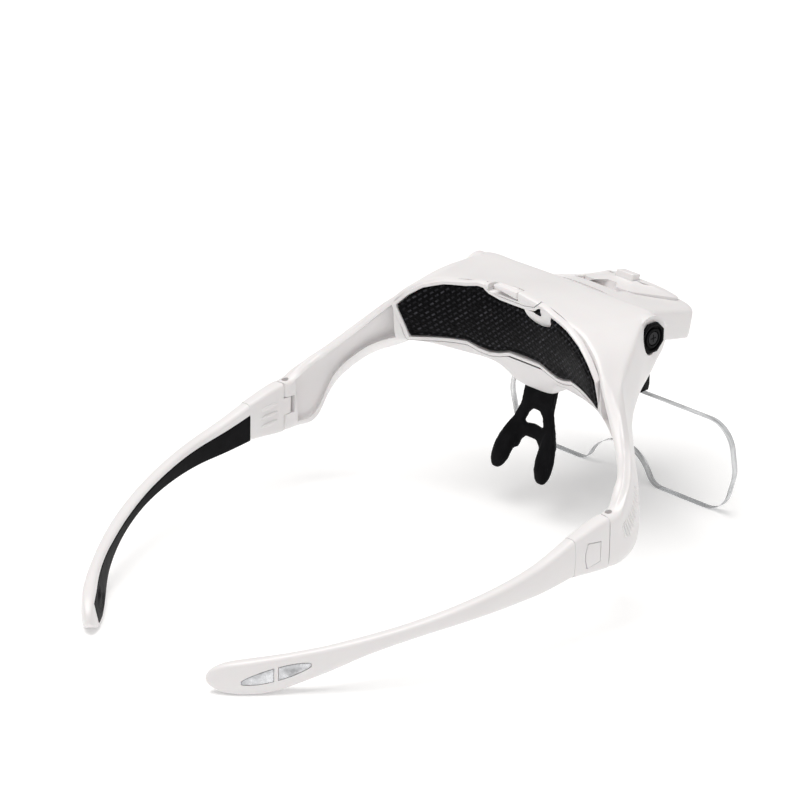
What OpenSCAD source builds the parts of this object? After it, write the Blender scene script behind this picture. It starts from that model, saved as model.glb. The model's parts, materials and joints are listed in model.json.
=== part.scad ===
// Lighted head magnifier with temple legs.
// It stands as it does on a table: on the lens plate in front and on the leg tips behind.
// +X is the wearer's left, +Y points to the back of the head, +Z is up.

/* [Head unit] */
// Half width of the roof at its front edge
roof_half_w = 38; // [37:0.5:40]
// Distance from the roof's front edge to the back of the brow
roof_depth = 30; // [29:0.5:32]
// Wall of the white mouldings
wall = 1.8; // [1.6:0.1:2]
// Radius of the forehead curve
brow_radius = 89; // [84:1:94]
// Backward lean of the forehead pad
brow_lean = 17; // [16:0.5:18]
// Height of the forehead pad along its lean
pad_h = 26; // [25:0.5:27]
// Half width of the forehead pad
pad_half_w = 45.5; // [44.5:0.5:46]
// Thickness of the forehead pad
pad_t = 2; // [1.8:0.1:2.2]
// Crown of the forehead pad over its middle
pad_crown = 1.2; // [0.8:0.1:1.6]
// Thickness of the battery door
door_t = 2.2; // [2:0.1:2.4]

/* [Arms] */
// Half distance between the two temple hinge pins
hinge_half_w = 75; // [73:0.5:77]
// Distance of the hinge pins behind the brow
hinge_back = 48.8; // [47:0.5:51]
// Height of the arm at the hinge
arm_h = 18.4; // [17:0.2:19]
// Thickness of the arm at the hinge
arm_t = 6; // [5.6:0.1:6.4]
// Diameter of the hinge pin
hinge_pin_d = 2.4; // [2.2:0.1:2.6]

/* [Light unit] */
// Downward pitch of the light unit at rest
light_pitch = 12.5; // [12:0.5:13]
// Distance of the light box front from the tilt axis
light_reach = 45.5; // [45:0.5:46.5]
// Width of the light box
light_w = 46; // [44:0.5:47]
// Height of the light base at its sides
light_h = 10; // [9.6:0.1:10.4]
// Rise of the light cover above the base at its front
cover_h = 3.2; // [2.9:0.1:3.5]
// Diameter of the pivot boss that the light unit turns on
pivot_boss_d = 6; // [5.6:0.1:6.4]
// Width across the corners of the pivot knob
knob_w = 11.2; // [10.8:0.1:11.6]
// Travel of the power button
button_travel = 0.8; // [0.6:0.1:1]

/* [Lens] */
// Width of the lens plate
lens_w = 104; // [100:1:108]
// Height of the lens plate without its tab
lens_h = 33; // [32:0.5:34]
// Thickness of the lens plate
lens_t = 2.6; // [2.4:0.1:3]
// Radius of the lower corners of the lens plate
lens_corner_r = 11; // [9:0.5:13]
// Width of the black lens clip
clip_w = 19.5; // [18:0.5:21]
// Depth that the lens tab goes into the clip
tab_depth = 7; // [6:0.5:8]

/* [Batteries] */
// Diameter of an AAA cell
cell_d = 10.5; // [10.2:0.1:10.6]
// Length of an AAA cell
cell_l = 44.5; // [43.5:0.5:45]

/* [Temples] */
// Length of the adapter between the hinge and the leg
adapter_l = 15.5; // [15:0.5:17]
// Straight stretch of the leg behind the adapter
leg_straight = 13; // [11:0.5:15]
// Radius of the leg's inward curve
leg_curve_r = 132; // [126:1:140]
// Length of the leg along its inward curve
leg_curve_l = 114; // [110:1:118]
// Thickness of the leg
leg_t = 4.6; // [4.4:0.1:5]
// Thickness of the black liner
liner_t = 1.2; // [1:0.1:1.4]
// Length of the tongue that holds the leg in the adapter
tongue_l = 9; // [8:0.5:10]
// Travel of the release button
release_travel = 0.7; // [0.5:0.1:0.9]

/* [Fits] */
// Gap between parts that slide or lie beside each other
gap = 0.3; // [0.25:0.05:0.35]
// Radial clearance of turning pins
run = 0.05; // [0.03:0.01:0.08]

/* [Hidden] */
$fn = 64;
eps = 0.02;

white = [0.95, 0.94, 0.93];
black = [0.08, 0.08, 0.085];
silver = [0.72, 0.74, 0.75];
steel = [0.6, 0.61, 0.62];

// Foot of the forehead pad, and the heights that hang together with it
brow_y = 9;
brow_z = 54;
roof_h = brow_z + 25;
pivot_h = roof_h - 7.6;

// The frame's origin lies under the middle of the object's length
leg_start = hinge_back + 2.7 + adapter_l;
leg_turn = leg_curve_l / leg_curve_r * 180 / PI;
tip_y = leg_start + leg_straight + (leg_curve_r + leg_t / 2 - 0.1) * sin(leg_turn);
pivot_y = -7.5;
crown_front_z = 3.8;
front_y = pivot_y - light_reach * cos(light_pitch) - (crown_front_z - 0.4) * sin(light_pitch);
mid_y = (tip_y + front_y) / 2;

// Front shell: each rail is a long edge of the moulding from the middle to the hinge
roof_front_y = -12;
roof_back_y = roof_front_y + roof_depth;
ear_x = 40.4;
arm_out_x = hinge_half_w + 0.56 * arm_t;
arm_in_x = hinge_half_w - 0.4 * arm_t;
arm_end_y = hinge_back + 2.4;
arm_low = 18.4;
arm_top = arm_low + arm_h;
flare_x = (hinge_half_w - 46) / 29;
flare_y = (hinge_back - 10) / 38.8;

// A knot on the flare between the cheek at x = 46 and the hinge
function flare(x, y, z) = [46 + (x - 46) * flare_x, 10 + (y - 10) * flare_y, z];

rail_top_back = [[0, roof_back_y, roof_h + 4.5], [12, roof_back_y + 0.2, roof_h + 3.3],
    [24, roof_back_y + 0.8, roof_h + 1.4], [32, roof_back_y + 1.6, roof_h - 0.4],
    [38, roof_back_y + 3, roof_h - 2.8], [45, roof_back_y + 5.5, roof_h - 7.4], flare(52.4, 27.5, 63.2),
    flare(60.5, 32, 53.4),
    flare(67.3, 36.8, 46.2), flare(70.4, 42, 42.4), [arm_in_x - 0.4, arm_end_y - 5, arm_top + 1.3],
    [arm_in_x, arm_end_y, arm_top]];
rail_top_front = [[0, roof_front_y, roof_h + 0.4], [12, roof_front_y, roof_h + 0.3],
    [24, roof_front_y, roof_h + 0.2], [roof_half_w - 1, roof_front_y, roof_h - 0.2],
    [ear_x - 0.6, -5, roof_h - 1], [46, 6, roof_h - 5], flare(53.2, 20, 65.3), flare(62, 27.3, 56),
    flare(69.2, 32.6, 48.5), flare(74.6, 38.8, 42.4), [arm_out_x, arm_end_y - 5.5, arm_top + 0.6],
    [arm_out_x, arm_end_y, arm_top - 0.4]];
rail_out_mid = [[0, roof_front_y - 0.6, 67], [12, roof_front_y - 0.6, 67], [24, roof_front_y - 0.8, 67],
    [roof_half_w + 0.6, roof_front_y - 5, 69], [ear_x + 0.2, pivot_y, 68.5], [46.8, 3.2, 63.5],
    flare(53, 16, 57.5), flare(62.5, 24.6, 48.5), flare(70.4, 30, 40.5), flare(76.4, 37.4, 31),
    [arm_out_x + 0.1, arm_end_y - 5.5, 27.5], [arm_out_x + 0.1, arm_end_y, 27]];
rail_keel = [[0, -25.5, 58], [12, -25, 58], [24, -23.4, 58.5], [roof_half_w, roof_front_y - 4.5, 64.5],
    [ear_x + 0.2, -11, 62], [46, 2.3, 56.8], flare(52.6, 13.2, 51.5), flare(62, 22, 44),
    flare(70, 28.4, 35), flare(75.8, 34.8, 23.6), [arm_out_x, arm_end_y - 6.5, arm_low + 2.6],
    [arm_out_x, arm_end_y, arm_low + 2.6]];
rail_low_front = [[0, -7, 44], [8.5, -7, 44.5], [13, -7, 46.4], [26, -7, 47.3], [38, -3.5, 50.5],
    [45, 5.5, 51.5], flare(52.6, 15, 47), flare(61.3, 21.8, 42.2), flare(69, 28.8, 33),
    flare(74.2, 35, 20.8), [arm_out_x - 1, arm_end_y - 7, arm_low], [arm_out_x - 1, arm_end_y, arm_low]];
rail_low_back = [[0, 4.5, 43.2], [8, 5, 44.2], [12.5, 7.4, 50], [26, 11, 51.2], [37, 15.6, 52.2],
    [45.5, 20.6, 52], flare(52.6, 24.6, 50.2), flare(59.8, 28.4, 45.4), flare(66.4, 33.4, 35.8),
    flare(71.2, 36.8, 20.2), [arm_in_x + 0.6, arm_end_y - 7, arm_low], [arm_in_x + 0.6, arm_end_y, arm_low]];
rail_back = [[0, 8.6, 51], [10, 9.2, 52.4], [19, 10.8, 52], [29, 13.4, 52.2], [38, 17.6, 53.2],
    [45, 21.8, 54.6], flare(52, 26.6, 55.6), flare(59.8, 30.6, 49.6), flare(66.8, 35.8, 41.5),
    flare(70.2, 40.6, 32), [arm_in_x - 0.4, arm_end_y - 5, 29], [arm_in_x, arm_end_y, 29]];
shell_rails = [rail_top_back, rail_top_front, rail_out_mid, rail_keel, rail_low_front,
    rail_low_back, rail_back];
shell_corner_r = 2.6;
shell_steps = 3;

// Point at place u on a smooth curve through the knots
function curve_at(knots, u) = let (
        last = len(knots) - 1, i = min(floor(u), last - 1), t = u - i,
        a = knots[max(i - 1, 0)], b = knots[i], c = knots[i + 1], d = knots[min(i + 2, last)])
    b + 0.5 * t * (c - a + t * (2 * a - 5 * b + 4 * c - d + t * (3 * (b - c) + d - a)));
function toward(from, to, r) = (to - from) * min(r / max(norm(to - from), eps), 0.42);
// Three points that round the corner b between a and c
function corner(a, b, c, r) = let (p = b + toward(b, a, r), q = b + toward(b, c, r))
    [p, (p + 2 * b + q) / 4, q];
function rounded_ring(k, r) = let (n = len(k))
    [for (i = [0 : n - 1]) each corner(k[(i + n - 1) % n], k[i], k[(i + 1) % n], r)];
function flip_x(ring) = [for (p = ring) [-p[0], p[1], p[2]]];

// Closed skin over rings that all have the same number of points, given in the order that turns it outward
module loft(rings) {
    n = len(rings[0]);
    m = len(rings);
    polyhedron(
        points = [for (ring = rings) each ring],
        faces = concat(
            [[for (i = [0 : n - 1]) i]],
            [for (j = [0 : m - 2], i = [0 : n - 1]) let (k = (i + 1) % n)
                each [[j * n + i, (j + 1) * n + k, j * n + k], [j * n + i, (j + 1) * n + i, (j + 1) * n + k]]],
            [[for (i = [n - 1 : -1 : 0]) (m - 1) * n + i]]));
}
// Moves a piece from the brow's own coordinates to the shared frame
module place() {
    translate([0, -mid_y, 0]) children();
}
module both_sides() {
    children();
    mirror([1, 0, 0]) children();
}
// Coordinates of the forehead curve: origin at the pad's lower middle, +Z up its lean
module on_brow() {
    translate([0, brow_y, brow_z]) rotate([-brow_lean, 0, 0]) children();
}
// Coordinates of the light unit: origin on the tilt axis, -Y forward
module on_light() {
    translate([0, pivot_y, pivot_h]) rotate([light_pitch, 0, 0]) children();
}

// The rail with its mirrored knot in front, so that it runs level through the middle
function level(knots) = concat([[-knots[1][0], knots[1][1], knots[1][2]]], knots);
module shell_skin() {
    last = (len(rail_top_back) - 1) * shell_steps;
    ring = function (k) rounded_ring([for (r = shell_rails) curve_at(level(r), k / shell_steps + 1)],
        shell_corner_r);
    loft(concat([for (k = [last : -1 : 1]) flip_x(ring(k))], [for (k = [0 : last]) ring(k)]));
}

// Outline of the forehead pad seen along the brow, grown by g
function pad_half_outline(g) = [
    [0, 3 - g], [7, 3 - g], [11.5, 1.4 - g], [15.5, 0.8 - g], [19.5, 1.6 - g], [24, 3.6 - g],
    [pad_half_w - 2 + g * 0.7, 3.8 - g], [pad_half_w + g, 16.6 + g * 0.3],
    [pad_half_w - 4.3 + g * 0.4, pad_h - 5.6 + g], [pad_half_w - 9.5, pad_h - 2.4 + g],
    [28.3, pad_h - 0.3 + g], [20, pad_h + 0.3 + g], [15, pad_h + 1.4 + g], [12.6, pad_h + 1.2 + g],
    [10.6, pad_h - 0.4 + g], [6, pad_h - 1.6 + g], [0, pad_h - 1.8 + g]];
module pad_outline(g) {
    half = pad_half_outline(g);
    polygon(concat(half, [for (i = [len(half) - 2 : -1 : 1]) [-half[i][0], half[i][1]]]));
}
// Curved panel on the brow between two depths in front of the pad's face
module brow_panel(near, far, g) {
    intersection() {
        translate([0, brow_radius, -8]) difference() {
            cylinder(r = brow_radius + far, h = pad_h + 20, $fn = 180);
            translate([0, 0, -1]) cylinder(r = brow_radius + near, h = pad_h + 22, $fn = 180);
        }
        translate([0, 40, 0]) rotate([90, 0, 0]) linear_extrude(70) pad_outline(g);
    }
}

// Battery bay: three cells in a cluster behind the door
cell_r = cell_d / 2;
cell_rows = [[-2, 56.6], [1, 66.8], [-12.4, 58.9]];
bay_half = cell_l / 2 + 4.2;
tray_t = 1;

front_wall_y = roof_front_y + wall;
module bay_cavity(shrink) {
    w = 2 * (bay_half + wall) - 2 * shrink;
    translate([-w / 2, 0, 0]) rotate([90, 0, 90]) linear_extrude(w) offset_bay(shrink);
}
// Side view of the battery bay, drawn in Y and Z
module offset_bay(s) {
    polygon([[front_wall_y + s, 75.6 - s], [front_wall_y + s, 66], [-14.5 + s * 0.5, 64.2 - s],
        [-18.2 + s, 61.5 - s * 0.5], [-18.4 + s, 56.5 + s * 0.3], [-15 + s * 0.5, 53.6 + s * 0.7],
        [-1.5, 50.9 + s], [2, 51.9 + s], [9, 54.2 + s], [18, 60], [18, 75.6 - s]]);
}

// Hole and knuckle places of the temple hinge
knuckle_r = 2.1;
knuckle_h = arm_h / 3;
knuckle_low = arm_low + arm_h * 0.36;
pin_r = hinge_pin_d / 2;
pin_l = arm_h - 3;
pin_low = arm_low + 1;
module at_hinge() {
    translate([hinge_half_w, hinge_back, 0]) children();
}

// Latch recess in the middle of the roof's rear edge
latch_x = 2.6;
latch_w = 10.6;
latch_d = 3.4;
latch_h = 2.9;
latch_low = 0.34;
latch_rise = 1.51;
latch_travel = 2.4;
latch_z = roof_h + 1;
latch_y = roof_back_y - 2.2;

// Nose pad socket in the beak
nose_w = 14;
nose_t = 2.4;
nose_lean = 15;
nose_y = 0.8;
nose_z = 43.5;
nose_stem = 5;
module on_nose() {
    translate([0, nose_y, nose_z]) rotate([nose_lean, 0, 0]) children();
}

// Yoke places
yoke_half = ear_x - 2.4;
yoke_t = 4.4;
boss_r = pivot_boss_d / 2;
boss_depth = 5.6;
cap_t = 1.3;

module front_shell() {
    color(white) place() difference() {
        union() {
            shell_skin();
            both_sides() translate([ear_x - 3.4, pivot_y, pivot_h]) rotate([0, 90, 0])
                cylinder(r = 7.4, h = 3.4);
        }
        bay_cavity(0);
        // Room for the yoke arms inside the cheeks
        both_sides() translate([yoke_half - yoke_t - gap, -26, pivot_h - 7])
            cube([yoke_t + 2 * gap, 26 + pivot_y, 12.6]);
        both_sides() translate([yoke_half - yoke_t - gap, pivot_y, pivot_h - 0.7]) rotate([0, 90, 0])
            cylinder(r = 6.3, h = yoke_t + 2 * gap);
        // Room for the ends of the cross bar in front of the cheeks
        both_sides() translate([bay_half + wall + 0.3, -30, pivot_h - 7.6])
            cube([yoke_half - yoke_t - bay_half - wall, 30 + bar_back - 5.8, 20]);
        translate([-yoke_half, -30, pivot_h - 6]) cube([2 * yoke_half, 30 + bar_back - 6.1, 20]);
        // Opening that the battery door closes
        on_brow() door_form(-12, gap);
        // Round seats of the pivot knobs
        both_sides() translate([ear_x, pivot_y, pivot_h]) rotate([0, 90, 0])
            cylinder(r = knob_w / 2 + 0.25, h = 6);
        // Bores for the pivot bosses
        both_sides() translate([yoke_half, pivot_y, pivot_h]) rotate([0, 90, 0])
            cylinder(r = boss_r + eps, h = 8);
        // Latch recess
        latch_room(gap);
        // Socket of the nose pad
        on_nose() translate([-nose_w / 2 - gap, -nose_t / 2 - gap, -6])
            cube([nose_w + 2 * gap, nose_t + 2 * gap, nose_stem + 6 + gap]);
        // Hinge pin bores and the slots for the knuckles
        both_sides() at_hinge() {
            translate([0, 0, arm_low - 3]) cylinder(r = pin_r + eps, h = arm_h + 8);
            translate([-arm_t, -knuckle_r - gap, knuckle_low - gap / 2])
                cube([arm_t + knuckle_r + gap, 10, knuckle_h + gap]);
            // Inner corner rounded about the pin, so that the adapter can swing in
            difference() {
                translate([-arm_t, 0, arm_low - 3]) cube([arm_t, 8, arm_h + 8]);
                translate([0, 0, arm_low - 4]) cylinder(r = 2.4, h = arm_h + 10);
            }
            // Inner face cut back beside the pin, for the adapter at its full fold
            translate([-arm_t, -2.8, arm_low - 3]) cube([arm_t - 2.45, 8, arm_h + 8]);
        }
        // Recess inside each arm
        both_sides() arm_channel();
    }
}

// Shallow channel on the inner face of the arm, with rims left above and below
module arm_channel() {
    rings = [for (k = [0 : 12]) let (
        u = 5.5 + k * 0.36,
        ti = curve_at(rail_top_back, u), bi = curve_at(rail_low_back, u),
        to = curve_at(rail_top_front, u), bo = curve_at(rail_low_front, u),
        hi = ti + (bi - ti) * 0.1, lo = ti + (bi - ti) * 0.89,
        hd = (to - ti) * 0.5, ld = (bo - bi) * 0.5,
        out_i = [-1.5, 2.4, 0])
        [hi + out_i, [hi[0] + hd[0], hi[1] + hd[1], hi[2]], [lo[0] + ld[0], lo[1] + ld[1], lo[2]], lo + out_i]];
    loft(rings);
}

// Room or body of the door: a shallow rim around the pad and a deeper panel behind it
rim_depth = pad_t + 0.6;
module door_form(near, g) {
    brow_panel(near, rim_depth + g, 1.6 + g);
    brow_panel(rim_depth - 0.3, pad_t + door_t + g, g - 1.4);
}
module battery_door() {
    back = pad_t + gap * 0.2;
    color(white) place() difference() {
        union() {
            on_brow() brow_panel(0.6, rim_depth, 1.6);
            on_brow() brow_panel(rim_depth - 0.3, pad_t + door_t, -1.4);
            // Rim around the pad, flush with the shell above it
            intersection() {
                shell_skin();
                on_brow() brow_panel(-8, rim_depth, 1.6);
            }
        }
        on_brow() difference() {
            brow_panel(-20, back, gap);
            pad_tab(0);
        }
        latch_room(gap);
    }
}
// Outline of the tab that lies over the upper edge of the pad, drawn out along Y
module tab_shape(g) {
    translate([-12.2, 30, pad_h - 1.2]) rotate([90, 0, 0]) linear_extrude(60) {
        intersection() {
            scale([1, 0.58]) circle(r = 6.8 + g, $fn = 48);
            translate([-8, -6]) square([16, 6.2 + g]);
        }
        translate([-6.8 - g, 0]) square([5.4 + 2 * g, 8]);
    }
}
module pad_tab(g) {
    intersection() {
        brow_panel(-0.2 - 4 * g, pad_t * 0.5 + g, 1.6);
        tab_shape(g);
    }
}
module latch_room(g) {
    translate([latch_x - latch_w / 2 - g, latch_y - latch_d / 2 - g, latch_z - g])
        cube([latch_w + 2 * g + latch_travel, latch_d + 12, 12]);
}

module forehead_pad() {
    color(black) place() on_brow() difference() {
        union() {
            brow_panel(0, pad_t, 0);
            // Crown over the middle of the pad
            intersection() {
                brow_panel(-pad_crown, 0.01, -2.5);
                translate([0, brow_radius * 1.02, pad_h / 2])
                    cylinder(r = brow_radius * 1.02 + 0.6, h = pad_h, center = true, $fn = 180);
            }
        }
        intersection() {
            brow_panel(-4, pad_t * 0.5 + 0.15, 3);
            tab_shape(0.15);
        }
    }
}

// Sliding latch, a wedge with its underside rising towards the side it opens to
module door_latch() {
    color(white) place() translate([latch_x, latch_y, latch_z + 0.02]) {
        rotate([90, 0, 0]) linear_extrude(latch_d, center = true)
            polygon([[-latch_w / 2, latch_low], [latch_w / 2, latch_low + latch_rise],
                [latch_w / 2, latch_h], [-latch_w / 2, latch_h]]);
        translate([-latch_w / 2 + 1.2, -latch_d / 2 + 0.8, latch_h - eps])
            cube([latch_w - 2.4, 1.2, 0.6]);
    }
}

module cell() {
    nub_l = 1;
    rotate([0, 90, 0]) {
        cylinder(r = cell_r, h = cell_l - nub_l, center = true);
        translate([0, 0, (cell_l - nub_l) / 2 - eps]) cylinder(r = 1.9, h = nub_l + eps);
    }
}
module battery_cells() {
    color("darkgreen") place() for (i = [0 : 2])
        translate([0, cell_rows[i][0], cell_rows[i][1]]) mirror([i % 2, 0, 0]) cell();
}

// Ribs at both ends of the bay that carry the contacts
module battery_tray() {
    color([0.2, 0.2, 0.22]) place() both_sides() {
        translate([bay_half - tray_t + 1, 0, 0]) rotate([90, 0, 90]) linear_extrude(tray_t) intersection() {
            offset_bay(0.25);
            translate([-20, 48]) square([24.5, 30]);
        }
    }
}
// One plate at each end of each cell
module battery_contacts() {
    contact_t = 0.5;
    spring_l = bay_half - cell_l / 2 - tray_t + 1 - contact_t;
    color(steel) place() for (i = [0 : 2]) both_sides() {
        translate([bay_half - tray_t + 1 - contact_t, cell_rows[i][0], cell_rows[i][1]]) rotate([0, 90, 0])
            cylinder(r = 3.4, h = contact_t);
        translate([cell_l / 2 + 0.55, cell_rows[i][0], cell_rows[i][1]]) rotate([0, 90, 0])
            cylinder(r1 = 1.8, r2 = 2.6, h = spring_l - 0.55 + eps, $fn = 32);
    }
}

// A-shaped nose pad with a plug above, two legs and two flat lobes
function blade(x, y, z, w, t) = [[x - w, y - t * 0.3, z], [x - w * 0.5, y - t * 0.5, z],
    [x + w * 0.5, y - t * 0.5, z], [x + w, y - t * 0.3, z], [x + w, y + t * 0.3, z],
    [x + w * 0.5, y + t * 0.5, z], [x - w * 0.5, y + t * 0.5, z], [x - w, y + t * 0.3, z]];
module nose_pad() {
    color(black) place() on_nose() {
        translate([-nose_w / 2, -nose_t / 2, -8]) cube([nose_w, nose_t, nose_stem + 8]);
        translate([0, nose_t / 2, 0]) rotate([90, 0, 0]) linear_extrude(nose_t) difference() {
            polygon([[-nose_w / 2, -7], [nose_w / 2, -7], [9.3, -13], [11.3, -18.6], [10.1, -22], [5.4, -23],
                [4.4, -19.6], [2.6, -17.8], [-2.6, -17.8], [-4.4, -19.6], [-5.4, -23], [-10.1, -22],
                [-11.3, -18.6], [-9.3, -13]]);
            polygon([[-1, -7.2], [1, -7.2], [3.4, -9.6], [4.9, -13.6], [3.4, -13.4], [0, -12.8], [-3.4, -13.4],
                [-4.9, -13.6], [-3.4, -9.6]]);
        }
        // Lobes turned to the sides of the nose
        both_sides() loft([blade(10.4, 3.1, -31.2, 1.2, 1.6), blade(10.2, 2.9, -29.8, 2.6, 2.6),
            blade(9.9, 2.6, -27, 3.6, 3.2), blade(9.6, 2.1, -23.5, 3.8, 3.4), blade(9.2, 1.5, -20, 3.4, 3.2),
            blade(8.7, 1, -16.5, 2.5, 2.8), blade(8.2, 0.6, -13.4, 1.4, 2)]);
    }
}

module pivot_knob() {
    color(black) place() translate([0, pivot_y, pivot_h]) rotate([0, 90, 0]) {
        difference() {
            union() {
                translate([0, 0, ear_x + 0.02]) rotate([0, 0, 22.5]) cylinder(d = knob_w, h = cap_t, $fn = 8);
                translate([0, 0, ear_x + 0.02 - boss_depth]) cylinder(r = boss_r, h = boss_depth + eps);
            }
            translate([0, 0, ear_x + 0.52]) difference() {
                cylinder(r = knob_w / 2 - 1.4, h = cap_t);
                translate([0, 0, -1]) cylinder(r = knob_w / 2 - 2.2, h = cap_t + 2);
            }
            translate([0, 0, ear_x + 0.42]) cylinder(r = 2.5, h = cap_t);
            translate([0, 0, ear_x - boss_depth - 1]) cylinder(r = 1.1 + eps, h = boss_depth + cap_t + 2);
        }
    }
}
module pivot_knob_left() { pivot_knob(); }
module pivot_knob_right() { mirror([1, 0, 0]) pivot_knob(); }

// Screws that hold the knobs in the cheeks, with a cross recess
module pivot_screws() {
    color(black) place() both_sides() translate([0, pivot_y, pivot_h]) rotate([0, 90, 0]) {
        translate([0, 0, ear_x - boss_depth]) cylinder(r = 1.1, h = boss_depth + 0.5);
        difference() {
            translate([0, 0, ear_x + 0.44]) cylinder(r = 2.2, h = 0.8);
            for (a = [0, 90]) rotate([0, 0, a]) translate([-1.3, -0.2, ear_x + 0.9]) cube([2.6, 0.4, 1]);
        }
    }
}

module temple_hinge_pins() {
    color(steel) place() both_sides() at_hinge() translate([0, 0, pin_low]) cylinder(r = pin_r, h = pin_l);
}

// Light base: box in front with a crowned top, cross bar and two arms behind
base_half = light_w / 2;
base_low = 2 - light_h;
deck_back = -9.4;
bar_back = -8.6;
bar_front = -14.6;
bar_low = -3.6;
bar_top = 2.4;
crown_fall = 0.075;
led_r = 2.5;
led_x = 16;
led_y = -light_reach + 8;
post_x = 8.2;
post_y = -25.8;
bracket_screw_x = 6;
bracket_y = -34.8;
button_w = 7.6;
button_d = 4;
button_y = -31.8;
button_top = 9.9;
flange_z = 4.2;
arch_top = 7;
arch_h = 3.4;
seat_z = 2.4;
cover_low_z = seat_z + eps;
// Section of the box at a distance y, drawn over X and Z, with half width w, top lowered and bottom raised
function base_ring(y, w, drop, lift) = let (
        rise = crown_fall * min(y + light_reach, 27), top = crown_front_z + rise - drop,
        half = [[0, top + 0.9], [w * 0.42, top + 0.45 + 0.1 * rise], [w * 0.7, top - 0.35 * rise],
            [w * 0.88, top - 0.6 - 0.6 * rise], [w * 0.97, top - 1.6 - 0.75 * rise], [w, top - 3 - 0.8 * rise],
            [w, base_low + 1 + lift], [w - 0.8, base_low + lift]])
    [for (i = [len(half) - 1 : -1 : 1]) [-half[i][0], y, half[i][1]], for (p = half) [p[0], y, p[1]]];
module light_base() {
    color(white) place() on_light() difference() {
        union() {
            loft([base_ring(-light_reach, base_half - 6.5, 1.3, 1.2),
                base_ring(-light_reach + 0.5, base_half - 4, 0.6, 0.5),
                base_ring(-light_reach + 1.6, base_half - 2, 0.25, 0.1),
                base_ring(-light_reach + 3.4, base_half - 0.7, 0.05, 0),
                base_ring(-light_reach + 6, base_half, 0, 0), base_ring(-23, base_half, 0, 0),
                base_ring(-19, base_half, 0, 2.5), base_ring(bar_front, base_half, 0, 4.4),
                base_ring(deck_back, base_half, 0, 4.4)]);
            // Cross bar and arms up to the tilt axis
            translate([0, 0, bar_low]) linear_extrude(bar_top - bar_low)
                polygon([[-yoke_half, bar_back], [-yoke_half, bar_back - 1.8], [yoke_t - yoke_half, bar_front],
                    [yoke_half - yoke_t, bar_front], [yoke_half, bar_back - 1.8], [yoke_half, bar_back]]);
            both_sides() translate([yoke_half - yoke_t, 0, 0]) rotate([0, 90, 0]) {
                cylinder(r = 4.6, h = yoke_t);
                translate([-bar_top, bar_back - 1, 0]) cube([bar_top - bar_low, 1 - bar_back, yoke_t]);
            }
        }
        // Inside of the box, open at the top under the cover
        translate([-base_half + wall, -light_reach + 3.6, base_low + wall])
            cube([2 * (base_half - wall), light_reach - 3.6 - 23.6, seat_z - 1.6 - base_low - wall]);
        intersection() {
            translate([0, 0, base_low + wall + 1]) linear_extrude(20) cover_plan(-1.6);
            translate([-20, -50, -20]) cube([40, 50 - 23.6, 40]);
        }
        // Finger notch behind the cover
        translate([-9.8, cover_back - 1, arch_top - arch_h]) cube([19.6, 6.2, 10]);
        translate([0, 0, seat_z]) linear_extrude(20) cover_plan(0.15);
        translate([-base_half + wall + 4, -light_reach + 3.6, base_low + wall])
            cube([2 * (base_half - wall) - 8, 6, seat_z - base_low - wall + 0.4]);
        // Bores that turn on the pivot bosses
        both_sides() translate([yoke_half - yoke_t - 1, 0, 0]) rotate([0, 90, 0])
            cylinder(r = boss_r + run, h = yoke_t + 2);
        // Holes for the two light windows
        both_sides() translate([led_x, led_y, base_low - 1]) cylinder(r = led_r + 0.4 + eps, h = wall + 2);
        // Screw holes of the lens bracket and of the cover
        both_sides() {
            translate([bracket_screw_x, bracket_y, base_low - 1]) cylinder(r = 1 + eps, h = wall + 2);
            translate([post_x, post_y, base_low - 1]) cylinder(r = 1 + eps, h = wall + 2);
        }
    }
}

// Plan of the cover, grown by g: narrow behind, wide in front
cover_back = -20.8;
cover_front = -light_reach + 1.6;
cover_back_half = 11.2;
cover_front_half = 17;
cover_r = 3.2;
module cover_plan(g) {
    polygon([for (p = cover_loop(g)) [p[0], p[1]]]);
}
module light_cover() {
    side_z = crown_front_z + 0.7;
    color(white) place() on_light() difference() {
        union() {
            loft(concat([for (q = [[-9, 1], [-6, 0.82], [-3, 0.46], [-0.9, 0.16], [0, 0]])
                    [for (p = cover_loop(q[0])) [p[0], p[1], side_z + cover_top(p[1], q[1])]]],
                [[for (p = cover_loop(0)) [p[0], p[1], cover_low_z]]]));
            // Posts for the screws from below
            both_sides() translate([post_x, post_y, base_low + wall + eps]) cylinder(r = 2, h = 9.4);
        }
        // Hollow inside, around the button and behind the finger opening
        translate([-button_w / 2 - 2.2, button_y - 4.5, 0]) cube([button_w + 4.4, 9, flange_z + 1.2]);
        // Arched finger opening
        translate([0, cover_back + 3, arch_top - 16]) rotate([90, 0, 0]) intersection() {
            cylinder(r = 16, h = 6.6);
            translate([-20, 16 - arch_h, -1]) cube([40, 20, 20]);
        }
        // Window of the power button
        translate([-button_w / 2 - gap, button_y - button_d / 2 - gap, 0])
            cube([button_w + 2 * gap, button_d + 2 * gap, 20]);
        // Screw holes
        both_sides() translate([post_x, post_y, 0]) translate([0, 0, base_low]) cylinder(r = 1 + eps, h = 9);
    }
}
// Rise of the cover's skin at a distance y, for a share f of its full rise there
function cover_top(y, f) = crown_fall * (y + light_reach) + f * (cover_h - 0.06 * (y + light_reach));
// Outline of the cover with rounded corners, grown by g
function cover_loop(g) = let (
        f = cover_front - g, b = cover_back + min(g, 0.3) + (g < 0 ? g * 0.3 : 0),
        wf = cover_front_half + g, wb = cover_back_half + g, r = max(cover_r + g * 0.4, 0.8))
    rounded_ring([[wb, b, 0], [wf, f + 4, 0], [wf - 3.6, f + 0.6, 0], [0, f, 0], [-wf + 3.6, f + 0.6, 0],
        [-wf, f + 4, 0], [-wb, b, 0]], r);

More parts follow.
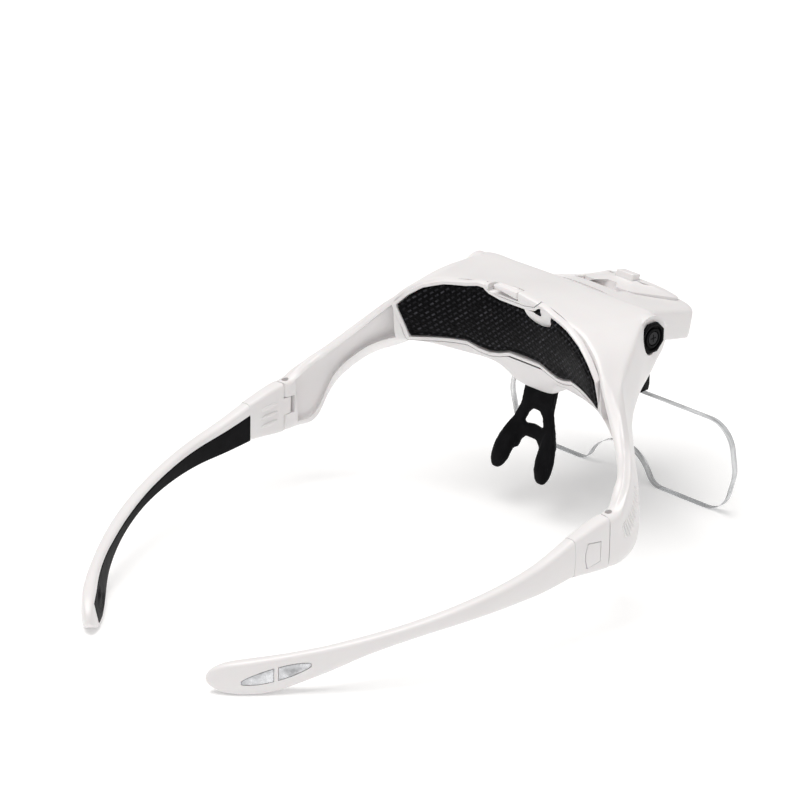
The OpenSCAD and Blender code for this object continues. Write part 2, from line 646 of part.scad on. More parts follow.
module power_button() {
    color(white) place() on_light() translate([0, button_y, 0]) {
        translate([-button_w / 2, -button_d / 2, flange_z]) cube([button_w, button_d, button_top - flange_z]);
        translate([-button_w / 2 - 1.4, -button_d / 2 - 1.4, flange_z])
            cube([button_w + 2.8, button_d + 2.8, 0.8]);
    }
}
board_z = -1.4;
module button_switch() {
    color(black) place() on_light() translate([0, button_y, board_z + 1.02]) {
        translate([-3, -2, 0]) cube([6, 4, 2]);
        translate([0, 0, 2 - eps]) cylinder(r = 1.2, h = flange_z - button_travel - board_z - 3.08);
    }
}
module circuit_board() {
    color("green") place() on_light() difference() {
        translate([-base_half + wall + 1.8, -light_reach + 4, board_z])
            cube([2 * (base_half - wall) - 3.6, light_reach + post_y - 6.6, 1]);
        both_sides() translate([led_x, led_y, board_z - 1]) cylinder(r = 0.8, h = 3);
    }
}
module leds() {
    color("ivory") place() on_light() both_sides() translate([led_x, led_y, 0]) {
        translate([0, 0, board_z - 3.4]) cylinder(r = led_r, h = 3.4 - eps);
        translate([0, 0, board_z - 3.4]) intersection() {
            sphere(r = led_r - 0.05);
            translate([-5, -5, -1.2]) cube([10, 10, 5]);
        }
    }
}
module led_windows() {
    color([0.85, 0.9, 0.95, 0.5]) place() on_light() both_sides() translate([led_x, led_y, base_low - 0.5])
        cylinder(r = led_r + 0.4, h = 1.4);
}
module light_screws() {
    color(steel) place() on_light() both_sides() {
        translate([post_x, post_y, base_low]) {
            translate([0, 0, -1.02]) cylinder(r = 1.8, h = 1);
            translate([0, 0, -0.4]) cylinder(r = 1, h = 7);
        }
        translate([bracket_screw_x, bracket_y, base_low]) {
            translate([0, 0, -2]) cylinder(r = 1, h = wall + 2.2);
            translate([0, 0, wall + eps]) cylinder(r = 1.8, h = 1);
        }
    }
}

// Lens hinge: axis under the light box, in the shared frame
lens_drop = 7.4;
lens_y = pivot_y + bracket_y * cos(light_pitch) - (-base_low + lens_drop) * -sin(light_pitch) - 1.9;
lens_axis_z = pivot_h + bracket_y * sin(light_pitch) - (-base_low + lens_drop) * cos(light_pitch);
disc_r = 4.4;
disc_t = 2.2;
clip_h = 13;
clip_t = 5;
clip_low = lens_h + 0.3;
module at_lens_hinge() {
    translate([0, lens_y, lens_axis_z]) children();
}
module lens_bracket() {
    color(black) place() difference() {
        union() {
            on_light() translate([-clip_w / 2, bracket_y - 4.5, base_low - 2.02]) cube([clip_w, 9, 2]);
            // Knuckle between the two ends of the clip
            at_lens_hinge() hull() {
                rotate([0, 90, 0]) cylinder(r = 3, h = clip_w - 2 * disc_t - 2 * gap, center = true, $fn = 32);
                translate([-(clip_w / 2 - disc_t - gap), -2.6, 3])
                    cube([clip_w - 2 * disc_t - 2 * gap, 5.4, lens_drop - 4.1]);
            }
        }
        at_lens_hinge() rotate([0, 90, 0]) cylinder(r = 1.2 + eps, h = clip_w + 2, center = true);
        on_light() both_sides() translate([bracket_screw_x, bracket_y, base_low - 3])
            cylinder(r = 1 + eps, h = 4);
    }
}
module lens_hinge_pin() {
    color(steel) place() at_lens_hinge() rotate([0, 90, 0]) cylinder(r = 1.2, h = clip_w - 0.6, center = true);
}
module lens_clip() {
    color(black) place() difference() {
        union() {
            // Hinge discs at both ends
            at_lens_hinge() both_sides() translate([clip_w / 2 - disc_t, 0, 0]) rotate([0, 90, 0])
                difference() {
                    cylinder(r = disc_r, h = disc_t);
                    translate([0, 0, disc_t - 0.4]) difference() {
                        cylinder(r = 3.4, h = 1);
                        translate([0, 0, -1]) cylinder(r = 2.6, h = 3);
                    }
                }
            // Body below the axis
            translate([-clip_w / 2, lens_y, 0]) rotate([90, 0, 90]) linear_extrude(clip_w)
                polygon([[clip_t / 2, clip_low], [clip_t / 2, lens_axis_z - 3.7], [-clip_t / 2, lens_axis_z - 3.7],
                    [-clip_t / 2, clip_low + 2], [-clip_t / 2 + 0.6, clip_low]]);
            both_sides() translate([clip_w / 2 - disc_t, lens_y - clip_t / 2, lens_axis_z - 5])
                cube([disc_t, clip_t, 5]);
        }
        at_lens_hinge() rotate([0, 90, 0]) cylinder(r = 1.2 + run, h = clip_w + 2, center = true);
        // Slot for the lens tab, open at the bottom
        translate([-tab_w / 2 - gap, lens_y - lens_t / 2 - gap / 2, clip_low - 1])
            cube([tab_w + 2 * gap, lens_t + gap, tab_depth + 1 + gap]);
        // Window of the release plate
        translate([-release_w / 2 - gap, lens_y - clip_t / 2 - 1, clip_low + 2.2 - gap])
            cube([release_w + 2 * gap, 1 + release_in, release_h + 2 * gap]);
    }
}
tab_w = 12;
release_in = 1.1;
release_push = 0.4;
release_w = 9;
release_h = 7.4;
module clip_release() {
    color(silver) place() translate([-release_w / 2, lens_y - clip_t / 2 - 0.6, clip_low + 2.2]) difference() {
        cube([release_w, release_in + 0.6 - release_push - 0.1, release_h]);
        for (i = [0 : 3]) translate([-1, -0.5, 1.1 + i * 1.5]) cube([release_w + 2, 0.8, 0.6]);
    }
}

// Plate with a nose notch, rounded corners and a tab that goes into the clip
notch_h = 11.5;
notch_r = 15;
notch_cz = notch_h - notch_r;
shoulder_r = 6;
shoulder_x = sqrt(pow(notch_r + shoulder_r, 2) - pow(shoulder_r - notch_cz, 2));
shoulder_touch_z = notch_cz + (shoulder_r - notch_cz) * notch_r / (notch_r + shoulder_r);
module lens_outline() {
    half = lens_w / 2;
    difference() {
        union() {
            hull() {
                both_sides() {
                    translate([half - lens_corner_r - 1.5, lens_corner_r]) circle(r = lens_corner_r);
                    translate([half - lens_corner_r, lens_h * 0.5]) circle(r = lens_corner_r);
                    translate([half - lens_corner_r - 1, lens_h - lens_corner_r]) circle(r = lens_corner_r);
                }
                translate([-20, 0]) square([40, 1]);
            }
            translate([-tab_w / 2, lens_h - 2]) square([tab_w, tab_depth + 2.2]);
        }
        // Nose notch with rounded shoulders
        difference() {
            translate([0, notch_cz]) circle(r = notch_r);
            translate([-50, -50]) square([100, 50 - 1]);
        }
        difference() {
            translate([-shoulder_x, -1]) square([2 * shoulder_x, 1 + shoulder_touch_z]);
            both_sides() translate([shoulder_x, shoulder_r]) circle(r = shoulder_r);
        }
    }
}
module lens_plate() {
    color([0.85, 0.9, 0.93, 0.4]) place() translate([0, lens_y + lens_t / 2, 0]) rotate([90, 0, 0])
        linear_extrude(lens_t) lens_outline();
}

// Temple adapter: knuckle in front, socket for the leg's tongue behind
adapter_y = hinge_back + 2.7;
adapter_low = arm_low + 0.2;
adapter_back_low = arm_low + 1.4;
adapter_back_top = arm_top - 3.6;
adapter_in = arm_in_x + 0.1;
adapter_out = arm_out_x - 0.1;
release_y = adapter_y + adapter_l * 0.48;
release_z = arm_low + arm_h * 0.42;
tongue_h = 7;
tongue_t = 2.4;
tongue_z = arm_low + arm_h * 0.4;
function block_ring(y, x_in, x_out, low, top, swell) =
    rounded_ring([[x_in, y, top], [x_out, y, top - 0.4 + swell * 0.8], [x_out + swell, y, (low + top) / 2],
        [x_out, y, low], [x_in, y, low]], 1.6);
module adapter() {
    color(white) place() difference() {
        union() {
            loft([block_ring(adapter_y, adapter_in, adapter_out, adapter_low, arm_top - 0.1, 0.1),
                block_ring(adapter_y + adapter_l * 0.5, adapter_in + 0.1, adapter_out - 0.2, adapter_low + 0.6,
                    arm_top - 1.6, 0.3),
                block_ring(adapter_y + adapter_l - 0.05, adapter_in + 0.3, adapter_out - 0.6, adapter_back_low,
                    adapter_back_top, 0.5)]);
            at_hinge() translate([0, 0, knuckle_low]) {
                cylinder(r = knuckle_r, h = knuckle_h - gap / 2);
                translate([-knuckle_r, 0, 0]) cube([2 * knuckle_r, 3.4, knuckle_h - gap / 2]);
            }
        }
        at_hinge() cylinder(r = pin_r + run, h = 60);
        // Socket of the leg's tongue
        translate([tongue_x - (tongue_t + gap) / 2, leg_start - tongue_l - gap,
            tongue_z - (tongue_h + gap) / 2]) cube([tongue_t + gap, tongue_l + 3, tongue_h + gap]);
        // Pocket of the release button
        translate([adapter_out - release_depth, release_y, release_z]) rotate([90, 0, 90])
            linear_extrude(5) release_outline(gap / 2);
    }
}
release_depth = 1.7;
tongue_x = hinge_half_w - 0.5;
module adapter_left() { adapter(); }
module adapter_right() { mirror([1, 0, 0]) adapter(); }

// Five-sided outline, narrow towards the back
module release_outline(g) {
    w = 3.5 + g;
    h = 4.3 + g;
    polygon([[-w, -h * 0.8], [w * 0.7, -h], [w, -h * 0.3], [w, h * 0.3], [w * 0.7, h], [-w, h * 0.8]]);
}
module release_button() {
    color(white) place() translate([adapter_out + 0.15 - release_depth + release_travel, release_y, release_z])
        rotate([90, 0, 90]) linear_extrude(release_depth - release_travel) release_outline(-gap / 4);
}
module release_button_left() { release_button(); }
module release_button_right() { mirror([1, 0, 0]) release_button(); }

// Temple leg: knots of the distance along the leg, middle height and half height
leg_l = leg_straight + leg_curve_l;
leg_knots = [[0, 26.5, 6.5], [0.1, 24, 5.2], [0.2, 22.4, 4.15], [0.35, 19.85, 3], [0.48, 17.3, 2.5],
    [0.6, 14.3, 2.95], [0.72, 10.3, 4.55], [0.83, 7.1, 5.9], [0.9, 5.95, 5.88], [0.955, 5.5, 4.9],
    [0.985, 5.3, 3.4], [1, 5.2, 1.4]];
leg_x = arm_out_x - 0.25 - leg_t / 2;
// Extra thickness that the leg gains on its inner side towards the tip
function leg_swell(s) = 1.6 * ease(s / leg_l, 0.7, 0.22);
// How far the leg's middle line draws in from its plain curve
function leg_draw(s) = 2 * ease(s / leg_l, 0.04, 0.6) - 1.2 * ease(s / leg_l, 0.74, 0.22);
// Smooth step from 0 to 1 that starts at a and takes b
function ease(v, a, b) = let (t = min(max((v - a) / b, 0), 1)) t * t * (3 - 2 * t);
// Plan point of the leg's middle line at a distance s, and the heading there
function leg_angle(s) = max(s - leg_straight, 0) / leg_curve_r * 180 / PI;
function leg_point(s) = let (x = leg_x - leg_draw(s)) s <= leg_straight ? [x, leg_start + s] :
    [x - leg_curve_r * (1 - cos(leg_angle(s))), leg_start + leg_straight + leg_curve_r * sin(leg_angle(s))];
function leg_ring(s, mid, half, out, in, r) = let (
        a = leg_angle(s), p = leg_point(s), nx = cos(a), ny = sin(a),
        at = function (d, z) [p[0] + d * nx, p[1] + d * ny, mid + z])
    rounded_ring([at(-in, half), at(out - 0.5, half), at(out, 0), at(out - 0.5, -half), at(-in, -half)], r);
// Distance of the inner face from the middle line: level with the adapter in front, thick at the tip
function leg_inner(s) = leg_t / 2 + 0.5 - 0.8 * ease(s, 0, 32) + leg_swell(s);
leg_steps = 3;
module temple_leg() {
    last = (len(leg_knots) - 1) * leg_steps;
    color(white) place() difference() {
        union() {
            loft([for (k = [0 : last]) let (q = curve_at(leg_knots, k / leg_steps))
                leg_ring(q[0] * leg_l, q[1], q[2], leg_t / 2, leg_inner(q[0] * leg_l), 1.7)]);
            translate([tongue_x - tongue_t / 2, leg_start - tongue_l, tongue_z - tongue_h / 2])
                cube([tongue_t, tongue_l + 2, tongue_h]);
        }
        // Bed of the liner
        liner_band(0, 2, 0.02, 0.15);
        // Shallow seats of the inlay panels
        inlay_band(leg_t / 2 - inlay_t, leg_t / 2 + 1, 0.15);
    }
}
inlay_t = 0.7;
inlay_from = leg_l * 0.747;
inlay_l = 22.2;
inlay_half_h = 2.2;
inlay_bar = 1.6;
// Two panels that together make a pointed oval, set into the outer face
module inlay_band(near, far, g) {
    steps = 10;
    for (part = [0, 1]) {
        s0 = inlay_from + part * (inlay_l / 2 + inlay_bar / 2) - g;
        span = inlay_l / 2 - inlay_bar / 2 + 2 * g;
        loft([for (k = [0 : steps]) let (
            s = s0 + span * k / steps,
            f = (s - inlay_from - inlay_l / 2) / (inlay_l / 2 + 0.6),
            half = inlay_half_h * pow(max(1 - f * f, 0.04), 0.62) + g,
            mid = inlay_mid(s), a = leg_angle(s), p = leg_point(s))
            [for (c = [[near, half], [far, half], [far, -half], [near, -half]])
                [p[0] + c[0] * cos(a), p[1] + c[0] * sin(a), mid + c[1]]]]);
    }
}
function inlay_mid(s) = 10.1 - 5.4 * (s - inlay_from) / inlay_l;
module inlay_panels() {
    color(silver) place() inlay_band(leg_t / 2 - inlay_t + eps, leg_t / 2 - 0.2, -0.02);
}
module temple_leg_left() { temple_leg(); }
module temple_leg_right() { mirror([1, 0, 0]) temple_leg(); }
module inlay_panels_left() { inlay_panels(); }
module inlay_panels_right() { mirror([1, 0, 0]) inlay_panels(); }

// Black liner on the inner face of the leg, along its lower edge in front and between two rims at the tip
liner_share = 0.72;
module liner_band(near, proud, g, r) {
    last = (len(leg_knots) - 1) * leg_steps;
    ring = function (k, lead) let (
            q = curve_at(leg_knots, k / leg_steps),
            face = leg_inner(q[0] * leg_l),
            mid = q[1] - (1 - liner_share) * q[2] * (1 - ease(q[0], 0.5, 0.3)))
        leg_ring(q[0] * leg_l - lead, mid, q[2] * liner_share + g, liner_t - 0.2 - near - face, face + proud, r);
    loft(concat(g > 0 ? [ring(0, 0.5)] : [], [for (k = [0 : last - 4]) ring(k, 0)]));
}
module temple_liner() {
    color(black) place() liner_band(0.02, 0.2, 0, 0.5);
}
module temple_liner_left() { temple_liner(); }
module temple_liner_right() { mirror([1, 0, 0]) temple_liner(); }

front_shell();
battery_door();
forehead_pad();
door_latch();
battery_cells();
battery_tray();
battery_contacts();
nose_pad();
pivot_knob_left();
pivot_knob_right();
pivot_screws();
temple_hinge_pins();
light_base();
light_cover();
power_button();
button_switch();
circuit_board();
leds();
led_windows();
light_screws();
lens_bracket();
lens_hinge_pin();
lens_clip();
clip_release();
lens_plate();
adapter_left();
adapter_right();
release_button_left();
release_button_right();
temple_leg_left();
temple_leg_right();
temple_liner_left();
temple_liner_right();
inlay_panels_left();
inlay_panels_right();
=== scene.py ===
"""Looks of the lighted head magnifier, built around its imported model."""

import json
import math

import bmesh
import bpy
from mathutils import Matrix, Vector


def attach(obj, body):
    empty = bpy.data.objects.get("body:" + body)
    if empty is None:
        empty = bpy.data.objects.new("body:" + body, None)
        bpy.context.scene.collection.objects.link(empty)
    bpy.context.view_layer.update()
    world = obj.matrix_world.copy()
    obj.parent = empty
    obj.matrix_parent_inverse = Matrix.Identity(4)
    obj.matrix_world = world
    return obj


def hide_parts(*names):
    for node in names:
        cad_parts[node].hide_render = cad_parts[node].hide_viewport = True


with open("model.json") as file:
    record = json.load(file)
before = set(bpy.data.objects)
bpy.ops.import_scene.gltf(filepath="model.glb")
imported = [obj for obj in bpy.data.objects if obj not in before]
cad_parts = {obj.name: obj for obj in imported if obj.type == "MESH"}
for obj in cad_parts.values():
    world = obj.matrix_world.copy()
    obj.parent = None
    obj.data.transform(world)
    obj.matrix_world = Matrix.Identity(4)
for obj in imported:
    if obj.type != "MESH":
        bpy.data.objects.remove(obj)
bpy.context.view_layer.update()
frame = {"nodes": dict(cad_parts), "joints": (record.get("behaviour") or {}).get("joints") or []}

bl_info = {
    "name": "Lighted Head Magnifier",
    "version": (1, 0, 0),
    "blender": (4, 5, 0),
    "location": "View3D > Sidebar > Magnifier",
    "description": "Builds the looks of the lighted head magnifier around its packed model",
    "category": "Object",
}

MM = 0.001
JOINTS = {joint["name"]: joint for joint in frame["joints"]}
TILT_Y = -7.5
TILT_Z = 71.4
SOFT_ANGLE = 30
ACRYLIC_IOR = 1.49
BROW_Y = JOINTS["light_tilt"]["pos_m"][1] - TILT_Y * MM


# Places and curves, in millimetres on the brow


def at(point):
    """A point of the brow's own millimetres in the row frame."""
    return Vector((point[0] * MM, point[1] * MM + BROW_Y, point[2] * MM))


def leaned(angle, y0, z0):
    """Coordinates turned about X by an angle, with their origin at y0 and z0."""
    c, s = math.cos(math.radians(angle)), math.sin(math.radians(angle))
    return lambda p: (p[0], y0 + p[1] * c - p[2] * s, z0 + p[1] * s + p[2] * c)


on_light = leaned(12.5, TILT_Y, TILT_Z)
on_brow = leaned(-17, 9, 54)
on_nose = leaned(15, 0.8, 43.5)


def flip(points):
    return [(-p[0], p[1], p[2]) for p in points]


def curve_at(knots, u):
    """Point at place u of a smooth curve through the knots."""
    last = len(knots) - 1
    i = min(int(u), last - 1)
    t = u - i
    a, b = knots[max(i - 1, 0)], knots[i]
    c, d = knots[i + 1], knots[min(i + 2, last)]
    return tuple(
        q + 0.5 * t * (r - p + t * (2 * p - 5 * q + 4 * r - s + t * (3 * (q - r) + s - p)))
        for p, q, r, s in zip(a, b, c, d)
    )


def rounded(ring, radius, steps=4):
    """The ring with each corner turned into a short curve."""
    out = []
    n = len(ring)
    for i in range(n):
        a, b, c = Vector(ring[i - 1]), Vector(ring[i]), Vector(ring[(i + 1) % n])
        p = b + (a - b) * min(radius / max((a - b).length, 0.02), 0.42)
        q = b + (c - b) * min(radius / max((c - b).length, 0.02), 0.42)
        for k in range(steps + 1):
            t = k / steps
            out.append(tuple(p * (1 - t) ** 2 + b * 2 * t * (1 - t) + q * t * t))
    return out


# Meshes


def new_object(name, data):
    """A new object of the scene that holds the data."""
    thing = bpy.data.objects.new(name, data)
    bpy.context.scene.collection.objects.link(thing)
    return thing


def solid(name, points, faces):
    """A closed mesh from points in brow millimetres."""
    mesh = bpy.data.meshes.new(name)
    mesh.from_pydata([at(p) for p in points], [], faces)
    work = bmesh.new()
    work.from_mesh(mesh)
    bmesh.ops.remove_doubles(work, verts=work.verts, dist=2e-6)
    bmesh.ops.recalc_face_normals(work, faces=work.faces)
    work.to_mesh(mesh)
    work.free()
    return new_object(name, mesh)


def loft(name, rings):
    """A closed skin over rings with the same number of points."""
    n = len(rings[0])
    points = [p for ring in rings for p in ring]
    faces = [list(range(n)), [(len(rings) - 1) * n + i for i in range(n)]]
    for j in range(len(rings) - 1):
        for i in range(n):
            k = (i + 1) % n
            faces.append([j * n + i, j * n + k, (j + 1) * n + k, (j + 1) * n + i])
    return solid(name, points, faces)


def slab(name, outline, low, high, place=lambda p: p):
    """An outline in X and Y drawn out from low to high along Z, then put in place."""
    return loft(name, [[place((x, y, z)) for x, y in outline] for z in (low, high)])


def block(name, low, high, place=lambda p: p):
    """A box between two corners, put in place."""
    (x0, y0, z0), (x1, y1, z1) = low, high
    return slab(name, [(x0, y0), (x1, y0), (x1, y1), (x0, y1)], z0, z1, place)


def side_block(name, side, near, far, place=lambda p: p):
    """A box on one side of the middle, with its corners given for side 1."""
    low_x, high_x = sorted((side * near[0], side * far[0]))
    return block(name, (low_x, near[1], near[2]), (high_x, far[1], far[2]), place)


def rod(name, centre, radius, start, end, axis="X", place=lambda p: p, sides=64):
    """A round bar along an axis through a centre."""
    rings = []
    for along in (start, end):
        ring = []
        for k in range(sides):
            a = 2 * math.pi * k / sides
            u, v = radius * math.cos(a), radius * math.sin(a)
            offset = {"X": (along, u, v), "Y": (v, along, u), "Z": (u, v, along)}[axis]
            ring.append(place(tuple(c + o for c, o in zip(centre, offset))))
        rings.append(ring)
    return loft(name, rings)


def bead(name, path, radius, sides=10):
    """A round bead along a path that thins out at both ends."""
    rings = []
    count = len(path) - 1
    for k, point in enumerate(path):
        ahead = (Vector(path[min(k + 1, count)]) - Vector(path[max(k - 1, 0)])).normalized()
        across = ahead.cross(Vector((0.3, 0.2, 1))).normalized()
        over = ahead.cross(across)
        r = radius * min(1.0, 0.25 + 4.0 * min(k, count - k) / count)
        rings.append([tuple(Vector(point) + across * r * math.cos(a) + over * r * math.sin(a))
                      for a in (2 * math.pi * i / sides for i in range(sides))])
    return loft(name, rings)


def settle(piece):
    """Turns the piece's modifiers into its mesh."""
    graph = bpy.context.evaluated_depsgraph_get()
    mesh = bpy.data.meshes.new_from_object(piece.evaluated_get(graph))
    piece.modifiers.clear()
    piece.data = mesh
    return piece


def shape(piece, operation, *tools):
    """Cuts, joins or meets the piece with the tools, which are used up."""
    for tool in tools:
        mod = piece.modifiers.new("shape", "BOOLEAN")
        mod.operation = operation
        mod.solver = "EXACT"
        mod.object = tool
        settle(piece)
        if not piece.data.polygons:
            raise RuntimeError(f"{piece.name} vanished when shaped with {tool.name}")
        bpy.data.objects.remove(tool)
    return piece


def cut(piece, *tools):
    return shape(piece, "DIFFERENCE", *tools)


def join(piece, *tools):
    return shape(piece, "UNION", *tools)


def pair(maker):
    """The tool that a maker gives for side 1 and for side -1."""
    return [maker(1), maker(-1)]


def copy_of(node, name):
    """A welded copy of a solid of the frame."""
    mesh = frame["nodes"][node].data.copy()
    mesh.name = name
    work = bmesh.new()
    work.from_mesh(mesh)
    bmesh.ops.remove_doubles(work, verts=work.verts, dist=2e-6)
    bmesh.ops.dissolve_limit(work, angle_limit=math.radians(1), verts=work.verts, edges=work.edges)
    work.to_mesh(mesh)
    work.free()
    return new_object(name, mesh)


def soften(piece, width, segments=2):
    """Rounds the sharp edges by a small width in millimetres."""
    mod = piece.modifiers.new("edges", "BEVEL")
    mod.width = width * MM
    mod.segments = segments
    mod.limit_method = "ANGLE"
    mod.angle_limit = math.radians(SOFT_ANGLE)
    mod.harden_normals = False
    return settle(piece)


def dress(piece, body, material, slot, *nodes, sharp=32):
    """Smooths, paints and mounts a piece, in place of the nodes that it stands for."""
    piece.data.shade_smooth()
    piece.data.set_sharp_from_angle(angle=math.radians(sharp))
    piece.data.materials.clear()
    piece.data.materials.append(material)
    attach(piece, body)
    if nodes:
        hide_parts(*nodes)
    return piece


def dress_copy(node, name, width, body, material, slot, segments=2):
    """A copy of a solid with softened edges, dressed and put in the solid's place."""
    return dress(soften(copy_of(node, name), width, segments), body, material, slot, node)


def paint(node, material):
    """Gives a solid of the frame its material."""
    data = frame["nodes"][node]
    data.data.materials.clear()
    data.data.materials.append(material)


# Materials


def new_material(name):
    material = bpy.data.materials.new(name)
    material.use_nodes = True
    tree = material.node_tree
    shader = tree.nodes["Principled BSDF"]
    place = tree.nodes.new("ShaderNodeTexCoord").outputs["Object"]
    return material, tree, shader, place


def put(node, values):
    """Gives inputs of the node their values, by name."""
    for name, value in values.items():
        node.inputs[name].default_value = value


def noise(tree, place, scale, detail=3.0, rough=0.5):
    node = tree.nodes.new("ShaderNodeTexNoise")
    put(node, {"Scale": scale, "Detail": detail, "Roughness": rough})
    tree.links.new(place, node.inputs["Vector"])
    return node.outputs["Fac"]


def bump(tree, shader, heights):
    """Adds up heights, each with its strength and depth in millimetres, into the surface's bumps."""
    normal = None
    for height, strength, depth in heights:
        node = tree.nodes.new("ShaderNodeBump")
        put(node, {"Strength": strength, "Distance": depth * MM})
        tree.links.new(height, node.inputs["Height"])
        if normal:
            tree.links.new(normal, node.inputs["Normal"])
        normal = node.outputs["Normal"]
    tree.links.new(normal, shader.inputs["Normal"])


def spread(tree, value, low, high):
    """The value from 0.3 to 0.7 spread over a new range."""
    node = tree.nodes.new("ShaderNodeMapRange")
    put(node, {"From Min": 0.3, "From Max": 0.7, "To Min": low, "To Max": high})
    tree.links.new(value, node.inputs["Value"])
    return node.outputs["Result"]


def roughen(tree, shader, value, low, high):
    """Roughness between low and high, by a value from 0.3 to 0.7."""
    tree.links.new(spread(tree, value, low, high), shader.inputs["Roughness"])


def times(colour, share):
    return tuple(c * share for c in colour)


def tint(tree, shader, value, dark, light):
    """Base colour between dark and light, by a value from 0.3 to 0.7."""
    ramp = tree.nodes.new("ShaderNodeValToRGB")
    ramp.color_ramp.elements[0].position = 0.3
    ramp.color_ramp.elements[0].color = (*dark, 1)
    ramp.color_ramp.elements[1].position = 0.7
    ramp.color_ramp.elements[1].color = (*light, 1)
    tree.links.new(value, ramp.inputs["Fac"])
    tree.links.new(ramp.outputs["Color"], shader.inputs["Base Color"])


def moulded_plastic(name, colour, roughness, grain=0.02, coat=0.0, glow=0.0, shine=0.5):
    """Moulded plastic with faint flow marks and a fine skin."""
    material, tree, shader, place = new_material(name)
    flow = noise(tree, place, 60, 2)
    fine = noise(tree, place, 2600, 2)
    dark = times(colour, 0.975)
    tint(tree, shader, flow, dark, colour)
    roughen(tree, shader, flow, roughness * 0.92, roughness * 1.1)
    put(shader, {"IOR": 1.5, "Specular IOR Level": shine, "Coat Weight": coat, "Coat Roughness": 0.18,
                 "Subsurface Weight": glow, "Subsurface Scale": 0.0015})
    bump(tree, shader, [(fine, 0.25, grain), (noise(tree, place, 130, 2), 0.08, 0.12)])
    return material


def soft_rubber(name, colour, roughness):
    """Black rubber with small pits that catch the light."""
    material, tree, shader, place = new_material(name)
    cloud = noise(tree, place, 220, 3)
    tint(tree, shader, cloud, times(colour, 1.2), times(colour, 2.2))
    roughen(tree, shader, cloud, roughness * 0.9, roughness * 1.1)
    shader.inputs["Specular IOR Level"].default_value = 0.05
    cells = tree.nodes.new("ShaderNodeTexVoronoi")
    cells.inputs["Scale"].default_value = 1500
    tree.links.new(place, cells.inputs["Vector"])
    bump(tree, shader, [(cells.outputs["Distance"], 0.5, 0.05), (noise(tree, place, 700, 3), 0.35, 0.06)])
    return material


def woven_rubber(name, colour, roughness, pitch):
    """Black sheet pressed with rows of short slanting dashes, with a painted highlight on their crests."""
    material, tree, shader, place = new_material(name)
    lean = tree.nodes.new("ShaderNodeMapping")
    lean.inputs["Rotation"].default_value = (math.radians(90), 0, 0)
    tree.links.new(place, lean.inputs["Vector"])
    crests = []
    for turn, shift in ((-38, 0.0), (32, 0.5)):
        slant = tree.nodes.new("ShaderNodeMapping")
        put(slant, {"Rotation": (0, 0, math.radians(turn)),
                    "Location": (shift * pitch * MM, shift * pitch * 0.5 * MM, 0)})
        tree.links.new(lean.outputs["Vector"], slant.inputs["Vector"])
        rows = tree.nodes.new("ShaderNodeTexBrick")
        rows.offset = 0.5
        put(rows, {"Scale": 1.0, "Brick Width": pitch * MM, "Row Height": pitch * 0.62 * MM,
                   "Mortar Size": pitch * 0.24 * MM, "Mortar Smooth": 0.35, "Color1": (1, 1, 1, 1),
                   "Color2": (0.3, 0.3, 0.3, 1), "Mortar": (0, 0, 0, 1)})
        tree.links.new(slant.outputs["Vector"], rows.inputs["Vector"])
        crests.append(rows.outputs["Color"])
    cloud = noise(tree, place, 420, 4, 0.6)
    # Painted highlight: in random patches, the crests of one row of dashes get a base colour far brighter than
    # the rubber.
    highlight_patches = spread(tree, noise(tree, place, 300, 2), 0.0, 1.0)
    crest_highlight = tree.nodes.new("ShaderNodeMath")
    crest_highlight.operation = "MULTIPLY"
    tree.links.new(crests[0], crest_highlight.inputs[0])
    tree.links.new(highlight_patches, crest_highlight.inputs[1])
    mix = tree.nodes.new("ShaderNodeMix")
    mix.data_type = "RGBA"
    mix.inputs["A"].default_value = (*colour, 1)
    mix.inputs["B"].default_value = (*times(colour, 22), 1)
    tree.links.new(crest_highlight.outputs["Value"], mix.inputs["Factor"])
    tree.links.new(mix.outputs["Result"], shader.inputs["Base Color"])
    roughen(tree, shader, cloud, roughness * 0.85, roughness * 1.1)
    shader.inputs["Specular IOR Level"].default_value = 0.03
    bump(tree, shader, [(crests[0], 0.8, 0.3), (crests[1], 0.8, 0.3), (cloud, 0.6, 0.08)])
    return material


def turned_metal(name, colour, roughness):
    """Metal with fine tool marks."""
    material, tree, shader, place = new_material(name)
    streak = noise(tree, place, 900, 4)
    tint(tree, shader, streak, times(colour, 0.8), colour)
    roughen(tree, shader, streak, roughness * 0.8, roughness * 1.3)
    shader.inputs["Metallic"].default_value = 1.0
    bump(tree, shader, [(streak, 0.2, 0.02)])
    return material


def mottled_silver(name, colour, roughness):
    """Silver lacquer that looks clouded, as on moulded trim."""
    material, tree, shader, place = new_material(name)
    cloud = noise(tree, place, 260, 5, 0.65)
    tint(tree, shader, cloud, times(colour, 0.55), tuple(min(c * 1.25, 1) for c in colour))
    roughen(tree, shader, cloud, roughness * 1.2, roughness * 0.7)
    shader.inputs["Metallic"].default_value = 0.75
    bump(tree, shader, [(cloud, 0.3, 0.08), (noise(tree, place, 2400, 2), 0.2, 0.02)])
    return material


def clear_plastic(name, colour, roughness):
    """Clear acrylic, seen through."""
    material, tree, shader, place = new_material(name)
    haze = noise(tree, place, 40, 2)
    tint(tree, shader, haze, times(colour, 0.995), colour)
    put(shader, {"Transmission Weight": 1.0, "Roughness": roughness, "IOR": ACRYLIC_IOR})
    bump(tree, shader, [(noise(tree, place, 25, 1), 0.02, 0.1)])
    return material


def clear_face(name, colour):
    """Polished face of a clear plate, of which only a trace shows."""
    material, tree, shader, place = new_material(name)
    tint(tree, shader, noise(tree, place, 40, 2), times(colour, 0.97), colour)
    put(shader, {"Alpha": 0.03, "Roughness": 0.05, "IOR": ACRYLIC_IOR})
    bump(tree, shader, [(noise(tree, place, 25, 1), 0.02, 0.1)])
    return material


